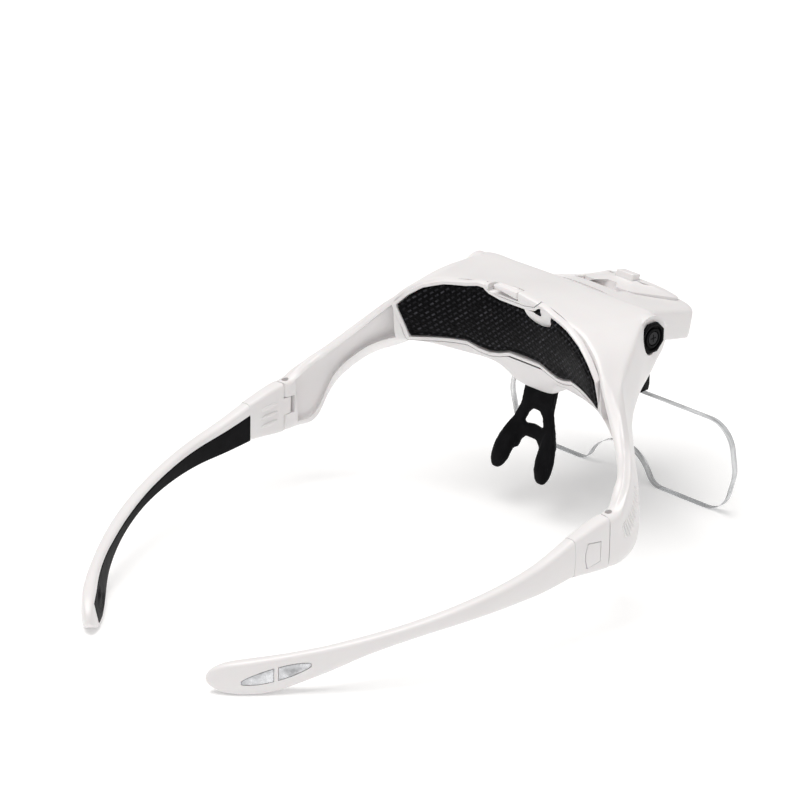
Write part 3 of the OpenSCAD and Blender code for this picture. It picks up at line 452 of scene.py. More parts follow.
def clear_edge(name, colour):
    """Cut edge of clear acrylic, with long streaks of light and shade painted into its colour."""
    material, tree, shader, place = new_material(name)
    stretch = tree.nodes.new("ShaderNodeMapping")
    stretch.inputs["Scale"].default_value = (1, 9, 1)
    tree.links.new(place, stretch.inputs["Vector"])
    streak = noise(tree, stretch.outputs["Vector"], 110, 4, 0.6)
    # Painted light and shade: the base colour runs from a quarter to full brightness along the streaks.
    tint(tree, shader, streak, times(colour, 0.25), colour)
    put(shader, {"Transmission Weight": 0.4, "Roughness": 0.12, "IOR": ACRYLIC_IOR})
    bump(tree, shader, [(streak, 0.2, 0.1)])
    return material


def cell_wrap(name, colour):
    """Printed sleeve of a dry cell, with a metal band at one end."""
    material, tree, shader, place = new_material(name)
    parts = tree.nodes.new("ShaderNodeSeparateXYZ")
    tree.links.new(place, parts.inputs["Vector"])
    band = tree.nodes.new("ShaderNodeValToRGB")
    band.color_ramp.interpolation = "CONSTANT"
    band.color_ramp.elements[0].color = (*colour, 1)
    band.color_ramp.elements[1].position = 0.62
    band.color_ramp.elements[1].color = (0.75, 0.6, 0.25, 1)
    scale = tree.nodes.new("ShaderNodeMapRange")
    put(scale, {"From Min": -0.0225, "From Max": 0.0225})
    tree.links.new(parts.outputs["X"], scale.inputs["Value"])
    tree.links.new(scale.outputs["Result"], band.inputs["Fac"])
    tree.links.new(band.outputs["Color"], shader.inputs["Base Color"])
    put(shader, {"Metallic": 0.6, "Roughness": 0.35})
    bump(tree, shader, [(noise(tree, place, 800, 2), 0.1, 0.02)])
    return material


# The sizes and colours that a user would change


class MagnifierColours(bpy.types.PropertyGroup):
    """Colours of the finishes."""

    white: bpy.props.FloatVectorProperty(
        name="White", description="Colour of the white mouldings", subtype="COLOR",
        size=3, min=0, max=1, default=(0.84, 0.82, 0.82))
    black: bpy.props.FloatVectorProperty(
        name="Black", description="Colour of the black plastic", subtype="COLOR",
        size=3, min=0, max=1, default=(0.004, 0.004, 0.0045))
    rubber: bpy.props.FloatVectorProperty(
        name="Rubber", description="Colour of the pad, the nose pad and the liners", subtype="COLOR",
        size=3, min=0, max=1, default=(0.0035, 0.0035, 0.004))
    silver: bpy.props.FloatVectorProperty(
        name="Silver", description="Colour of the trim panels", subtype="COLOR",
        size=3, min=0, max=1, default=(0.62, 0.63, 0.65))
    clear: bpy.props.FloatVectorProperty(
        name="Clear", description="Tint of the lens plate", subtype="COLOR",
        size=3, min=0, max=1, default=(0.985, 0.99, 0.99))


class MagnifierSizes(bpy.types.PropertyGroup):
    """Sizes of the fine detail."""

    pad_pitch: bpy.props.FloatProperty(
        name="Pad pitch", description="Length of one dash of the pad's pattern in millimetres",
        min=1, max=6, default=2.6)
    pad_crown: bpy.props.FloatProperty(
        name="Pad crown", description="Rise of the pad over its middle in millimetres",
        min=0.2, max=2, default=1.2)
    edge: bpy.props.FloatProperty(
        name="Edge", description="Rounding of small moulded edges in millimetres",
        min=0.05, max=0.6, default=0.25)


class MagnifierStage(bpy.types.PropertyGroup):
    """Light and view."""

    floor_shade: bpy.props.FloatProperty(
        name="Floor", description="Paleness of the floor", subtype="FACTOR", min=0, max=1, default=0.93)
    key_power: bpy.props.FloatProperty(
        name="Key light", description="Power of the large soft light in watts", min=0, max=100, default=33)
    sky: bpy.props.FloatProperty(
        name="Sky", description="Strength of the even light from all around", min=0, max=3, default=0.36)


def finishes():
    """The materials, made once and found by name after that."""
    have = bpy.data.materials
    if "white_abs" in have:
        return {name: have[name] for name in FINISHES}
    c = bpy.context.scene.magnifier_colours
    s = bpy.context.scene.magnifier_sizes
    moulded_plastic("white_abs", tuple(c.white), 0.34, 0.012, 0.15, 0.04)
    moulded_plastic("black_abs", tuple(c.black), 0.42, 0.03, shine=0.05)
    moulded_plastic("grey_abs", (0.05, 0.05, 0.055), 0.5, 0.03)
    moulded_plastic("green_board", (0.02, 0.16, 0.06), 0.4, 0.02)
    moulded_plastic("led_resin", (0.8, 0.76, 0.45), 0.2, 0.01)
    moulded_plastic("grey_release", (0.2, 0.2, 0.21), 0.4, 0.03)
    soft_rubber("soft_black", tuple(c.rubber), 0.5)
    woven_rubber("pad_sheet", tuple(c.rubber), 0.5, s.pad_pitch)
    turned_metal("bright_steel", (0.62, 0.61, 0.6), 0.3)
    turned_metal("dark_steel", (0.03, 0.03, 0.032), 0.35)
    mottled_silver("trim_silver", tuple(c.silver), 0.32)
    clear_face("lens_face", tuple(c.clear))
    clear_edge("acrylic_edge", (0.78, 0.8, 0.82))
    clear_plastic("window_clear", (0.96, 0.97, 0.98), 0.08)
    cell_wrap("cell_sleeve", (0.03, 0.12, 0.08))
    return {name: have[name] for name in FINISHES}


FINISHES = (
    "white_abs", "black_abs", "grey_abs", "green_board", "led_resin", "grey_release", "soft_black",
    "pad_sheet", "bright_steel", "dark_steel", "trim_silver", "lens_face", "acrylic_edge",
    "window_clear", "cell_sleeve",
)

# Brow shell

# Rails of the shell's skin, from the middle to the end of one arm, as points in X, Y and Z
TOP_BACK = [(0, 18, 83.5), (12, 18.2, 82.3), (24, 18.8, 80.4), (32, 19.6, 78.6), (38, 21, 76.2),
            (45, 23.5, 71.6), (52.4, 27.5, 63.2), (60.5, 32, 53.4), (67.3, 36.8, 46.2),
            (70.4, 42, 42.4), (72.2, 46.2, 38.1), (72.6, 51.2, 36.8)]
TOP_FRONT = [(0, -12, 79.4), (12, -12, 79.3), (24, -12, 79.2), (37, -12, 78.8), (39.8, -5, 78), (46, 6, 74),
             (53.2, 20, 65.3), (62, 27.3, 56), (69.2, 32.6, 48.5), (74.6, 38.8, 42.4), (78.36, 45.7, 37.4),
             (78.36, 51.2, 36.4)]
OUT_MID = [(0, -12.6, 67), (12, -12.6, 67), (24, -12.8, 67), (38.6, -17, 69), (40.6, -7.5, 68.5),
           (46.8, 3.2, 63.5), (53, 16, 57.5), (62.5, 24.6, 48.5), (70.4, 30, 40.5), (76.4, 37.4, 31),
           (78.46, 45.7, 27.5), (78.46, 51.2, 27)]
KEEL = [(0, -25.5, 58), (12, -25, 58), (24, -23.4, 58.5), (38, -16.5, 64.5), (40.6, -11, 62), (46, 2.3, 56.8),
        (52.6, 13.2, 51.5), (62, 22, 44), (70, 28.4, 35), (75.8, 34.8, 23.6), (78.36, 44.7, 21),
        (78.36, 51.2, 21)]
LOW_FRONT = [(0, -7, 44), (8.5, -7, 44.5), (13, -7, 46.4), (26, -7, 47.3), (38, -3.5, 50.5), (45, 5.5, 51.5),
             (52.6, 15, 47), (61.3, 21.8, 42.2), (69, 28.8, 33), (74.2, 35, 20.8), (77.36, 44.2, 18.4),
             (77.36, 51.2, 18.4)]
LOW_BACK = [(0, 4.5, 43.2), (8, 5, 44.2), (12.5, 7.4, 50), (26, 11, 51.2), (37, 15.6, 52.2),
            (45.5, 20.6, 52), (52.6, 24.6, 50.2), (59.8, 28.4, 45.4), (66.4, 33.4, 35.8),
            (71.2, 36.8, 20.2), (73.2, 44.2, 18.4), (73.2, 51.2, 18.4)]
BACK = [(0, 8.6, 51), (10, 9.2, 52.4), (19, 10.8, 52), (29, 13.4, 52.2), (38, 17.6, 53.2), (45, 21.8, 54.6),
        (52, 26.6, 55.6), (59.8, 30.6, 49.6), (66.8, 35.8, 41.5), (70.2, 40.6, 32), (72.2, 46.2, 29),
        (72.6, 51.2, 29)]
RAILS = [TOP_BACK, TOP_FRONT, OUT_MID, KEEL, LOW_FRONT, LOW_BACK, BACK]
SHELL_CORNER = 2.6
SHELL_STEPS = 7
GAP = 0.3
WALL = 1.8
EAR_X = 40.4
YOKE_HALF = 38.0
YOKE_T = 4.4
# X and Y of the temple's hinge pin
HINGE = (75.0, 48.8)
ARM_LOW, ARM_H = 18.4, 18.4
KNUCKLE_LOW = ARM_LOW + ARM_H * 0.36
KNUCKLE_H = ARM_H / 3
KNOB_W = 11.2
CHEEK_R = 7.4
YOKE_ROOM_R = 6.3
EAR_BORE_R = 3.02
PIN_BORE_R = 1.22
SWING_R = 2.4
NOSE_SOCKET = ((-7.3, -1.5, -6), (7.3, 1.5, 5.3))
# Width, depth and travel of the latch
LATCH = (10.6, 3.4, 2.4)
LATCH_X, LATCH_Y, LATCH_Z = 2.6, 15.8, 80.0


def from_middle(knots):
    """The rail with its mirrored knot in front, so that it runs level through the middle."""
    return flip(knots[1:2]) + knots


# Each ridge as places along the rails, with its share of the way across the arm there
RIDGES = (
    ((5.55, 0.07), (6.0, 0.217), (6.65, 0.333), (7.4, 0.283), (8.25, 0.2), (9.2, 0.183), (9.85, 0.167)),
    ((5.45, 0.65), (5.75, 0.48), (5.95, 0.46), (6.25, 0.58), (6.8, 0.62), (7.3, 0.54), (7.8, 0.43),
     (8.5, 0.36), (9.2, 0.32), (9.85, 0.33)),
)


def ridge_height(u, t, length):
    """Height of the two soft ridges along the arm at a share t of the way from its back to its outer edge."""
    fade = min(max((u - 5.4) / 0.5, 0), 1) * min(max((10.1 - u) / 0.3, 0), 1)
    return sum(0.6 * fade * math.exp(-((t - height_on(line, u)) * length / 0.75) ** 2) for line in RIDGES)


def shell_ring(u):
    """Ring of the shell at place u, with closer points where the ridges of the arm run."""
    ring = rounded([curve_at(from_middle(rail), u + 1) for rail in RAILS], SHELL_CORNER)
    close = [Vector(ring[2])]
    for k in range(2, 12):
        parts = 8 if k in (4, 9) else 2
        a, b = Vector(ring[k]), Vector(ring[k + 1])
        close += [a.lerp(b, i / parts) for i in range(1, parts + 1)]
    if u > 5.4:
        run = [0.0]
        for a, b in zip(close, close[1:]):
            run.append(run[-1] + (b - a).length)
        middle = sum((Vector(p) for p in ring), Vector()) / len(ring)
        close = [p + (p - middle).normalized() * ridge_height(u, d / run[-1], run[-1])
                 for p, d in zip(close, run)]
    return ring[:2] + [tuple(p) for p in close] + ring[13:]


def shell_skin(name):
    last = (len(TOP_BACK) - 1) * SHELL_STEPS
    half = [shell_ring(k / SHELL_STEPS) for k in range(last + 1)]
    return loft(name, [flip(ring) for ring in half[:0:-1]] + half)


PAD_R = 89.0
PAD_H = 26.0
PAD_W = 45.5
PAD_T = 2.0
DOOR_T = 2.2
RIM_DEPTH = PAD_T + 0.6
# Profile of the pad: its rounded edge, the groove inside that, and the crown over the middle
PAD_EDGE_R = 0.9
GROOVE_DEPTH, GROOVE_IN, GROOVE_W = 0.28, 2.0, 0.35
CROWN_IN, CROWN_SPAN = 1.5, 4.0
ROW_CROWDING = 0.09
CELL_L, SPRING_ROOM = 44.5, 4.2
NOSE_VOXEL, NOSE_SMOOTH = 0.5, 14


def pad_low(grow):
    """Lower edge of the pad's outline from the middle to its outer end."""
    return [(0, 3 - grow), (7, 3 - grow), (11.5, 1.4 - grow), (15.5, 0.8 - grow), (19.5, 1.6 - grow),
            (24, 3.6 - grow), (PAD_W - 2 + grow * 0.7, 3.8 - grow), (PAD_W + grow, 16.4 + grow * 0.3)]


def pad_top(grow):
    """Upper edge of the pad's outline from the middle to its outer end."""
    return [(0, PAD_H - 1.8 + grow), (6, PAD_H - 1.6 + grow), (10.6, PAD_H - 0.4 + grow),
            (12.6, PAD_H + 1.2 + grow), (15, PAD_H + 1.4 + grow), (20, PAD_H + 0.3 + grow),
            (28.3, PAD_H - 0.3 + grow),
            (PAD_W - 9.5, PAD_H - 2.4 + grow), (PAD_W - 4.3 + grow * 0.4, PAD_H - 5.6 + grow),
            (PAD_W + grow, 16.6 + grow * 0.3)]


def height_on(chain, x):
    for (x0, z0), (x1, z1) in zip(chain, chain[1:]):
        if x <= x1:
            return z0 + (z1 - z0) * (x - x0) / max(x1 - x0, 1e-6)
    return chain[-1][1]


def brow_depth(x, out):
    """How far back of the brow's middle the curve lies at x, for a surface out in front of the pad's face."""
    return PAD_R - math.sqrt((PAD_R + out) ** 2 - x * x)


def columns(grow, step=1.0):
    width = PAD_W + grow
    marks = {place[0] for place in pad_low(grow) + pad_top(grow)}
    marks |= {k * step for k in range(int(width / step) + 1)}
    half = sorted(marks)
    keep = [half[0]]
    for x in half[1:]:
        if x - keep[-1] > 0.2 or x == width:
            keep.append(x)
    return [-x for x in keep[:0:-1]] + keep


def brow_panel(name, near, far, grow):
    """Curved panel over the pad's outline between two depths in front of the pad's face."""
    rings = []
    for x in columns(grow):
        low, top = height_on(pad_low(grow), abs(x)), height_on(pad_top(grow), abs(x))
        y_near, y_far = brow_depth(x, near), brow_depth(x, far)
        corners = (x, y_near, low), (x, y_far, low), (x, y_far, top), (x, y_near, top)
        rings.append([on_brow(p) for p in corners])
    return loft(name, rings)


def latch_room(name):
    w, d, travel = LATCH
    return block(name, (LATCH_X - w / 2 - GAP, LATCH_Y - d / 2 - GAP, LATCH_Z - GAP),
                 (LATCH_X + w / 2 + GAP + travel, LATCH_Y + 12, 92))


def door_form(near, grow):
    """Room for the door: a shallow rim around the pad and a deeper panel behind it."""
    form = brow_panel("door_form", near, RIM_DEPTH + grow, 1.6 + grow)
    return join(form, brow_panel("door_panel", RIM_DEPTH - 0.3, PAD_T + DOOR_T + grow, grow - 1.4))


def tab_shape(name, grow):
    """Half round outline of the tab over the pad's upper edge, drawn out along Y."""
    r = 6.8 + grow
    arc = [(r * math.cos(a), max(0.58 * r * math.sin(a), -6))
           for a in (math.pi * (1 + k / 24) for k in range(25))]
    outline = [(r * 0.98, 0.2)] + [(-1.4 + grow, 0.2), (-1.4 + grow, 8), (-6.8 - grow, 8)] + arc
    return loft(name, [[on_brow((x - 12.2, y, z + PAD_H - 1.2)) for x, z in outline] for y in (30, -30)])


def arm_channel(name, side):
    rings = []
    for k in range(33):
        u = 5.5 + k * 0.36 * 12 / 32
        ti, bi = curve_at(TOP_BACK, u), curve_at(LOW_BACK, u)
        to, bo = curve_at(TOP_FRONT, u), curve_at(LOW_FRONT, u)
        hi = [a + (b - a) * 0.1 for a, b in zip(ti, bi)]
        lo = [a + (b - a) * 0.89 for a, b in zip(ti, bi)]
        ring = [
            (hi[0] - 1.5, hi[1] + 2.4, hi[2]),
            (hi[0] + (to[0] - ti[0]) * 0.5, hi[1] + (to[1] - ti[1]) * 0.5, hi[2]),
            (lo[0] + (bo[0] - bi[0]) * 0.5, lo[1] + (bo[1] - bi[1]) * 0.5, lo[2]),
            (lo[0] - 1.5, lo[1] + 2.4, lo[2]),
        ]
        ring = rounded(ring, 1.4, 3)
        rings.append(ring if side > 0 else flip(ring))
    return loft(name, rings)


def bay_tool(name):
    side = [(-10.2, 75.6), (-10.2, 66), (-14.5, 64.2), (-18.2, 61.5), (-18.4, 56.5), (-15, 53.6),
            (-1.5, 50.9), (2, 51.9), (9, 54.2), (18, 60), (18, 75.6)]
    half = CELL_L / 2 + SPRING_ROOM + WALL
    return loft(name, [[(x, y, z) for y, z in side] for x in (-half, half)])


def swing_room(name, side):
    """The arm's inner end corner, cut round about the hinge pin."""
    x, y = HINGE
    points = [(-6, 0.0), (-6, 8.0), (0, 8.0)]
    points += [(-SWING_R * math.sin(math.radians(a)), SWING_R * math.cos(math.radians(a)))
               for a in range(0, 91, 6)]
    outline = [(side * (x + px), y + py) for px, py in points]
    return slab(name, outline, ARM_LOW - 3, ARM_LOW + ARM_H + 5)


def between(rail, other, share, u, sink):
    """A point between two rails at place u, sunk a little into the arm."""
    p = Vector(curve_at(rail, u)).lerp(Vector(curve_at(other, u)), share)
    middle = sum((Vector(curve_at(r, u)) for r in RAILS), Vector()) / len(RAILS)
    return tuple(p + (middle - p).normalized() * sink)


def arm_ribs(side):
    """Fine slanting ribs on the outer face of the arm, where the fingers hold it."""
    tools = []
    for k in range(12):
        u = 8.2 + 0.14 * k
        path = [between(OUT_MID, KEEL, 0.12 * i, u - 0.05 * i, 0.05) for i in (2, 1)]
        path += [between(TOP_FRONT, OUT_MID, 1 - 0.1 * i, u + 0.05 * i, 0.05) for i in range(6)]
        tools.append(bead("arm_rib", path if side > 0 else flip(path), 0.45, 8))
    return tools


def gather(name, pieces):
    """One mesh that holds several pieces side by side, without joining their surfaces."""
    work = bmesh.new()
    for piece in pieces:
        work.from_mesh(piece.data)
        bpy.data.objects.remove(piece)
    mesh = bpy.data.meshes.new(name)
    work.to_mesh(mesh)
    work.free()
    return new_object(name, mesh)


class MAGNIFIER_OT_brow_shell(bpy.types.Operator):
    """White brow shell with its two arms"""

    bl_idname = "magnifier.brow_shell"
    bl_label = "Brow shell"

    def execute(self, context):
        shell = shell_skin("brow_shell")
        join(shell, *pair(lambda s: rod("cheek", (s * (EAR_X - 1.7), TILT_Y, TILT_Z), CHEEK_R, -1.7, 1.7)))
        cut(shell, bay_tool("bay"))
        cut(shell, *pair(lambda s: side_block("yoke_room", s, (YOKE_HALF - YOKE_T - GAP, -26, TILT_Z - 7),
                                              (YOKE_HALF + GAP, TILT_Y, TILT_Z + 5.6))))
        cut(shell, *pair(lambda s: rod("yoke_round", (s * (YOKE_HALF - YOKE_T / 2), TILT_Y, TILT_Z),
                                       YOKE_ROOM_R, -YOKE_T / 2 - GAP, YOKE_T / 2 + GAP)))
        cut(shell, *pair(lambda s: rod("knob_seat", (s * (EAR_X + 3), TILT_Y, TILT_Z), KNOB_W / 2 + 0.25,
                                       -3, 3)))
        cut(shell, *pair(lambda s: rod("boss_bore", (s * (YOKE_HALF + 4), TILT_Y, TILT_Z), EAR_BORE_R, -4, 4)))
        cut(shell, *pair(lambda s: side_block("bar_end_room", s, (28.55, -30, TILT_Z - 7.6),
                                              (33.25, -14.4, TILT_Z + 12.4))))
        cut(shell, block("bar_room", (-YOKE_HALF, -30, TILT_Z - 6), (YOKE_HALF, -14.7, TILT_Z + 14)))
        cut(shell, door_form(-12, GAP))
        cut(shell, latch_room("latch_room"))
        cut(shell, block("nose_socket", *NOSE_SOCKET, on_nose))
        cut(shell, *pair(lambda s: rod("pin_bore", (s * HINGE[0], HINGE[1], 0), PIN_BORE_R,
                                       ARM_LOW - 3, 42, "Z")))
        cut(shell, *pair(lambda s: side_block(
            "knuckle_slot", s, (HINGE[0] - 6, HINGE[1] - SWING_R, KNUCKLE_LOW - 0.15),
            (HINGE[0] + SWING_R, HINGE[1] + 7.6, KNUCKLE_LOW + KNUCKLE_H + 0.15))))
        cut(shell, *pair(lambda s: swing_room("swing_room", s)))
        cut(shell, *pair(lambda s: side_block("fold_room", s, (HINGE[0] - 6, HINGE[1] - 2.8, ARM_LOW - 3),
                                              (HINGE[0] - 2.45, HINGE[1] + 5.2, ARM_LOW + ARM_H + 5))))
        join(shell, *pair(lambda s: gather("arm_ribs", arm_ribs(s))))
        cut(shell, *pair(lambda s: arm_channel("channel", s)))
        dress(shell, "head", finishes()["white_abs"], "white_plastic", "front_shell")
        return {"FINISHED"}


class MAGNIFIER_OT_door(bpy.types.Operator):
    """Battery door behind the pad, and its latch"""

    bl_idname = "magnifier.door"
    bl_label = "Battery door and latch"

    def execute(self, context):
        white = finishes()["white_abs"]
        dress_copy("battery_door", "battery_door_panel", 0.12, "door", white, "white_plastic")
        dress_copy("door_latch", "latch_bar", 0.35, "latch", white, "white_plastic")
        return {"FINISHED"}


def distance_in(x, z, polygon):
    """Distance of a place from the polygon's nearest edge."""
    best = 1e9
    for (x0, z0), (x1, z1) in zip(polygon, polygon[1:] + polygon[:1]):
        dx, dz = x1 - x0, z1 - z0
        t = min(max(((x - x0) * dx + (z - z0) * dz) / max(dx * dx + dz * dz, 1e-9), 0), 1)
        best = min(best, math.hypot(x - x0 - t * dx, z - z0 - t * dz))
    return best


class MAGNIFIER_OT_forehead_pad(bpy.types.Operator):
    """Soft pad that rests on the forehead"""

    bl_idname = "magnifier.forehead_pad"
    bl_label = "Forehead pad"

    def execute(self, context):
        crown = context.scene.magnifier_sizes.pad_crown
        low, top = pad_low(-0.12), pad_top(-0.12)
        right = low + top[::-1]
        polygon = right + [(-x, z) for x, z in right[::-1] if x > 0]
        across = columns(-0.12, 0.7)
        rows = 34
        points, faces = [], []
        for face in (0, 1):
            for x in across:
                z0, z1 = height_on(low, abs(x)), height_on(top, abs(x))
                for k in range(rows + 1):
                    t = k / rows
                    t -= ROW_CROWDING * math.sin(2 * math.pi * t)
                    z = z0 + (z1 - z0) * t
                    d = distance_in(x, z, polygon)
                    edge = PAD_EDGE_R * math.sqrt(max(1 - max(1 - d / PAD_EDGE_R, 0) ** 2, 0))
                    groove = -GROOVE_DEPTH * math.exp(-((d - GROOVE_IN) / GROOVE_W) ** 2)
                    rise = crown * (1 - math.exp(-max(d - CROWN_IN, 0) / CROWN_SPAN))
                    out = -(edge - PAD_EDGE_R + groove + rise) if face == 0 else PAD_T - 0.05
                    points.append(on_brow((x, brow_depth(x, out), z)))
        n = rows + 1
        m = len(across)
        for face in (0, 1):
            o = face * n * m
            for i in range(m - 1):
                for k in range(rows):
                    a = o + i * n + k
                    faces.append([a, a + n, a + n + 1, a + 1])
        o = n * m
        for i in range(m - 1):
            for k in (0, rows):
                a = i * n + k
                faces.append([a, a + n, a + n + o, a + o])
        for i in (0, m - 1):
            for k in range(rows):
                a = i * n + k
                faces.append([a, a + 1, a + 1 + o, a + o])
        pad = solid("forehead_pad_sheet", points, faces)
        depth = brow_panel("tab_depth", -4, PAD_T * 0.5 + 0.15, 3)
        cut(pad, shape(tab_shape("pad_tab_room", 0.15), "INTERSECT", depth))
        dress(pad, "door", finishes()["pad_sheet"], "pad_rubber", "forehead_pad", sharp=50)
        return {"FINISHED"}


class MAGNIFIER_OT_nose_pad(bpy.types.Operator):
    """Soft nose pad with two lobes"""

    bl_idname = "magnifier.nose_pad"
    bl_label = "Nose pad"

    def execute(self, context):
        pad = copy_of("nose_pad", "nose_rest")
        mod = pad.modifiers.new("skin", "REMESH")
        mod.mode = "VOXEL"
        mod.voxel_size = NOSE_VOXEL * MM
        settle(pad)
        mod = pad.modifiers.new("soft", "SMOOTH")
        mod.factor = 0.5
        mod.iterations = NOSE_SMOOTH
        settle(pad)
        dress(pad, "nose_pad", finishes()["soft_black"], "black_rubber", "nose_pad", sharp=80)
        return {"FINISHED"}


# Light unit

LIGHT_REACH = 45.5
BASE_HALF = 23.0
BASE_LOW = -8.0
CROWN_FRONT = 3.8
CROWN_FALL = 0.075
COVER_BACK, COVER_FRONT = -20.8, -43.9
COVER_BACK_HALF, COVER_FRONT_HALF = 11.2, 17.0
COVER_R = 3.2
COVER_H = 3.2
ARCH_TOP, ARCH_H = 7.0, 3.4
# Width, depth and distance Y of the power button
BUTTON = (7.6, 4.0, -31.8)
FLANGE_Z = 4.2
YOKE_LOW, YOKE_TOP = -3.6, 2.4
YOKE_END_R = 4.6
YOKE_BORE_R = 3.05
WINDOW_X, WINDOW_Y, WINDOW_R = 16, -37.5, 2.92
POST_X, POST_Y, POST_R = 8.2, -25.8, 2
ARCH_R, ARCH_DEPTH = 16, 6.6


def base_ring(y, half_w, drop, lift):
    """Section of the light box at a distance y, drawn over X and Z."""
    rise = CROWN_FALL * min(y + LIGHT_REACH, 27)
    top = CROWN_FRONT + rise - drop
    w = half_w
    half = [(0, top + 0.9), (w * 0.42, top + 0.45 + 0.1 * rise), (w * 0.7, top - 0.35 * rise),
            (w * 0.88, top - 0.6 - 0.6 * rise), (w * 0.97, top - 1.6 - 0.75 * rise),
            (w, top - 3 - 0.8 * rise), (w, BASE_LOW + 1 + lift), (w - 0.8, BASE_LOW + lift)]
    ring = [(-x, y, z) for x, z in half[:0:-1]] + [(x, y, z) for x, z in half]
    return [on_light(p) for p in rounded(ring, 3.0, 3)]


def cover_loop(grow):
    front, wide, narrow = COVER_FRONT - grow, COVER_FRONT_HALF + grow, COVER_BACK_HALF + grow
    back = COVER_BACK + min(grow, 0.3) + (grow * 0.3 if grow < 0 else 0)
    ring = [(narrow, back, 0), (wide, front + 4, 0), (wide - 3.6, front + 0.6, 0), (0, front, 0),
            (-wide + 3.6, front + 0.6, 0), (-wide, front + 4, 0), (-narrow, back, 0)]
    return rounded(ring, max(COVER_R + grow * 0.4, 0.8), 6)


def cover_rise(y, share):
    """Rise of the cover's skin at a distance y, for a share of its full rise there."""
    return CROWN_FALL * (y + LIGHT_REACH) + share * (COVER_H - 0.06 * (y + LIGHT_REACH))


def cover_slab(name, grow, low, high):
    return slab(name, [(p[0], p[1]) for p in cover_loop(grow)], low, high, on_light)


class MAGNIFIER_OT_light_base(bpy.types.Operator):
    """White light box with its yoke"""

    bl_idname = "magnifier.light_base"
    bl_label = "Light base"

    def execute(self, context):
        # Distance Y, half width, drop of the top and lift of the underside
        knots = [(-45.5, 16.5, 1.3, 1.2), (-45.0, 19.0, 0.6, 0.5), (-43.9, 21.0, 0.25, 0.1),
                 (-42.1, 22.3, 0.05, 0), (-39.5, 23.0, 0, 0), (-23.0, 23.0, 0, 0), (-19.0, 23.0, 0, 2.5),
                 (-14.6, 23.0, 0, 4.4), (-9.4, 23.0, 0, 4.4)]
        steps = 5
        places = [k / steps for k in range((len(knots) - 1) * steps + 1)]
        base = loft("light_box", [base_ring(*curve_at(knots, u)) for u in places])
        half, bar_back, bar_front = YOKE_HALF, -8.6, -14.6
        bar = slab("cross_bar", [(-half, bar_back), (-half, bar_back - 1.8), (YOKE_T - half, bar_front),
                                 (half - YOKE_T, bar_front), (half, bar_back - 1.8), (half, bar_back)],
                   YOKE_LOW, YOKE_TOP, on_light)
        join(base, bar)
        join(base, *pair(lambda s: rod("yoke_end", (s * (half - YOKE_T / 2), 0, 0), YOKE_END_R,
                                       -YOKE_T / 2, YOKE_T / 2, "X", on_light)))
        join(base, *pair(lambda s: side_block("yoke_arm", s, (half - YOKE_T, bar_back - 1, YOKE_LOW),
                                              (half, 0, YOKE_TOP), on_light)))
        cut(base, block("box_room", (-BASE_HALF + WALL, -41.9, BASE_LOW + WALL),
                        (BASE_HALF - WALL, -23.6, 0.8), on_light))
        cut(base, cover_slab("cover_room", -1.6, BASE_LOW + WALL + 1, 12))
        cut(base, block("finger_notch", (-9.8, COVER_BACK - 1, ARCH_TOP - ARCH_H),
                        (9.8, COVER_BACK + 5.2, 14.6), on_light))
        cut(base, cover_slab("cover_seat", 0.15, 2.4, 20))
        cut(base, *pair(lambda s: rod("boss_bore", (s * (half - 2), 0, 0), YOKE_BORE_R, -4, 4,
                                      "X", on_light)))
        cut(base, *pair(lambda s: rod("window_hole", (s * WINDOW_X, WINDOW_Y, 0), WINDOW_R,
                                      BASE_LOW - 1, BASE_LOW + 3, "Z", on_light)))
        dress(base, "light_unit", finishes()["white_abs"], "white_plastic", "light_base")
        return {"FINISHED"}


class MAGNIFIER_OT_light_cover(bpy.types.Operator):
    """White cover of the light box, with the power button"""

    bl_idname = "magnifier.light_cover"
    bl_label = "Light cover and button"

    def execute(self, context):
        white = finishes()["white_abs"]
        side = CROWN_FRONT + 0.7
        knots = [(-9, 1), (-6, 0.82), (-3, 0.46), (-0.9, 0.16), (0, 0)]
        rings = []
        for k in range(4 * 4 + 1):
            grow, share = curve_at(knots, k / 4)
            rings.append([on_light((p[0], p[1], side + cover_rise(p[1], share))) for p in cover_loop(grow)])
        rings.append([on_light((p[0], p[1], 2.42)) for p in cover_loop(0)])
        cover = loft("light_lid", rings)
        join(cover, *pair(lambda s: rod("post", (s * POST_X, POST_Y, 0), POST_R, -6.18, 3.22,
                                       "Z", on_light, 32)))
        w, d, y = BUTTON
        cut(cover, block("switch_room", (-w / 2 - 2.2, y - 4.5, 0), (w / 2 + 2.2, y + 4.5, FLANGE_Z + 1.2),
                         on_light))
        arch = rod("finger_arch", (0, 0, ARCH_TOP - ARCH_R), ARCH_R, COVER_BACK + 3 - ARCH_DEPTH,
                   COVER_BACK + 3, "Y", on_light, 96)
        shape(arch, "INTERSECT", block("arch_top", (-20, -40, ARCH_TOP - ARCH_H), (20, 0, 30), on_light))
        cut(cover, arch)
        cut(cover, block("button_window", (-w / 2 - GAP, y - d / 2 - GAP, 0),
                         (w / 2 + GAP, y + d / 2 + GAP, 20), on_light))
        dress(cover, "light_unit", white, "white_plastic", "light_cover")
        dress_copy("power_button", "power_key", 0.5, "power_button", white, "white_plastic", 3)
        return {"FINISHED"}


class MAGNIFIER_OT_light_inside(bpy.types.Operator):
    """Board, lamps, windows, switch and screws of the light unit"""

    bl_idname = "magnifier.light_inside"
    bl_label = "Inside of the light unit"

    def execute(self, context):
        m = finishes()
        paint("circuit_board", m["green_board"])
        paint("leds", m["led_resin"])
        paint("led_windows", m["window_clear"])
        paint("button_switch", m["black_abs"])
        paint("light_screws", m["bright_steel"])
        return {"FINISHED"}


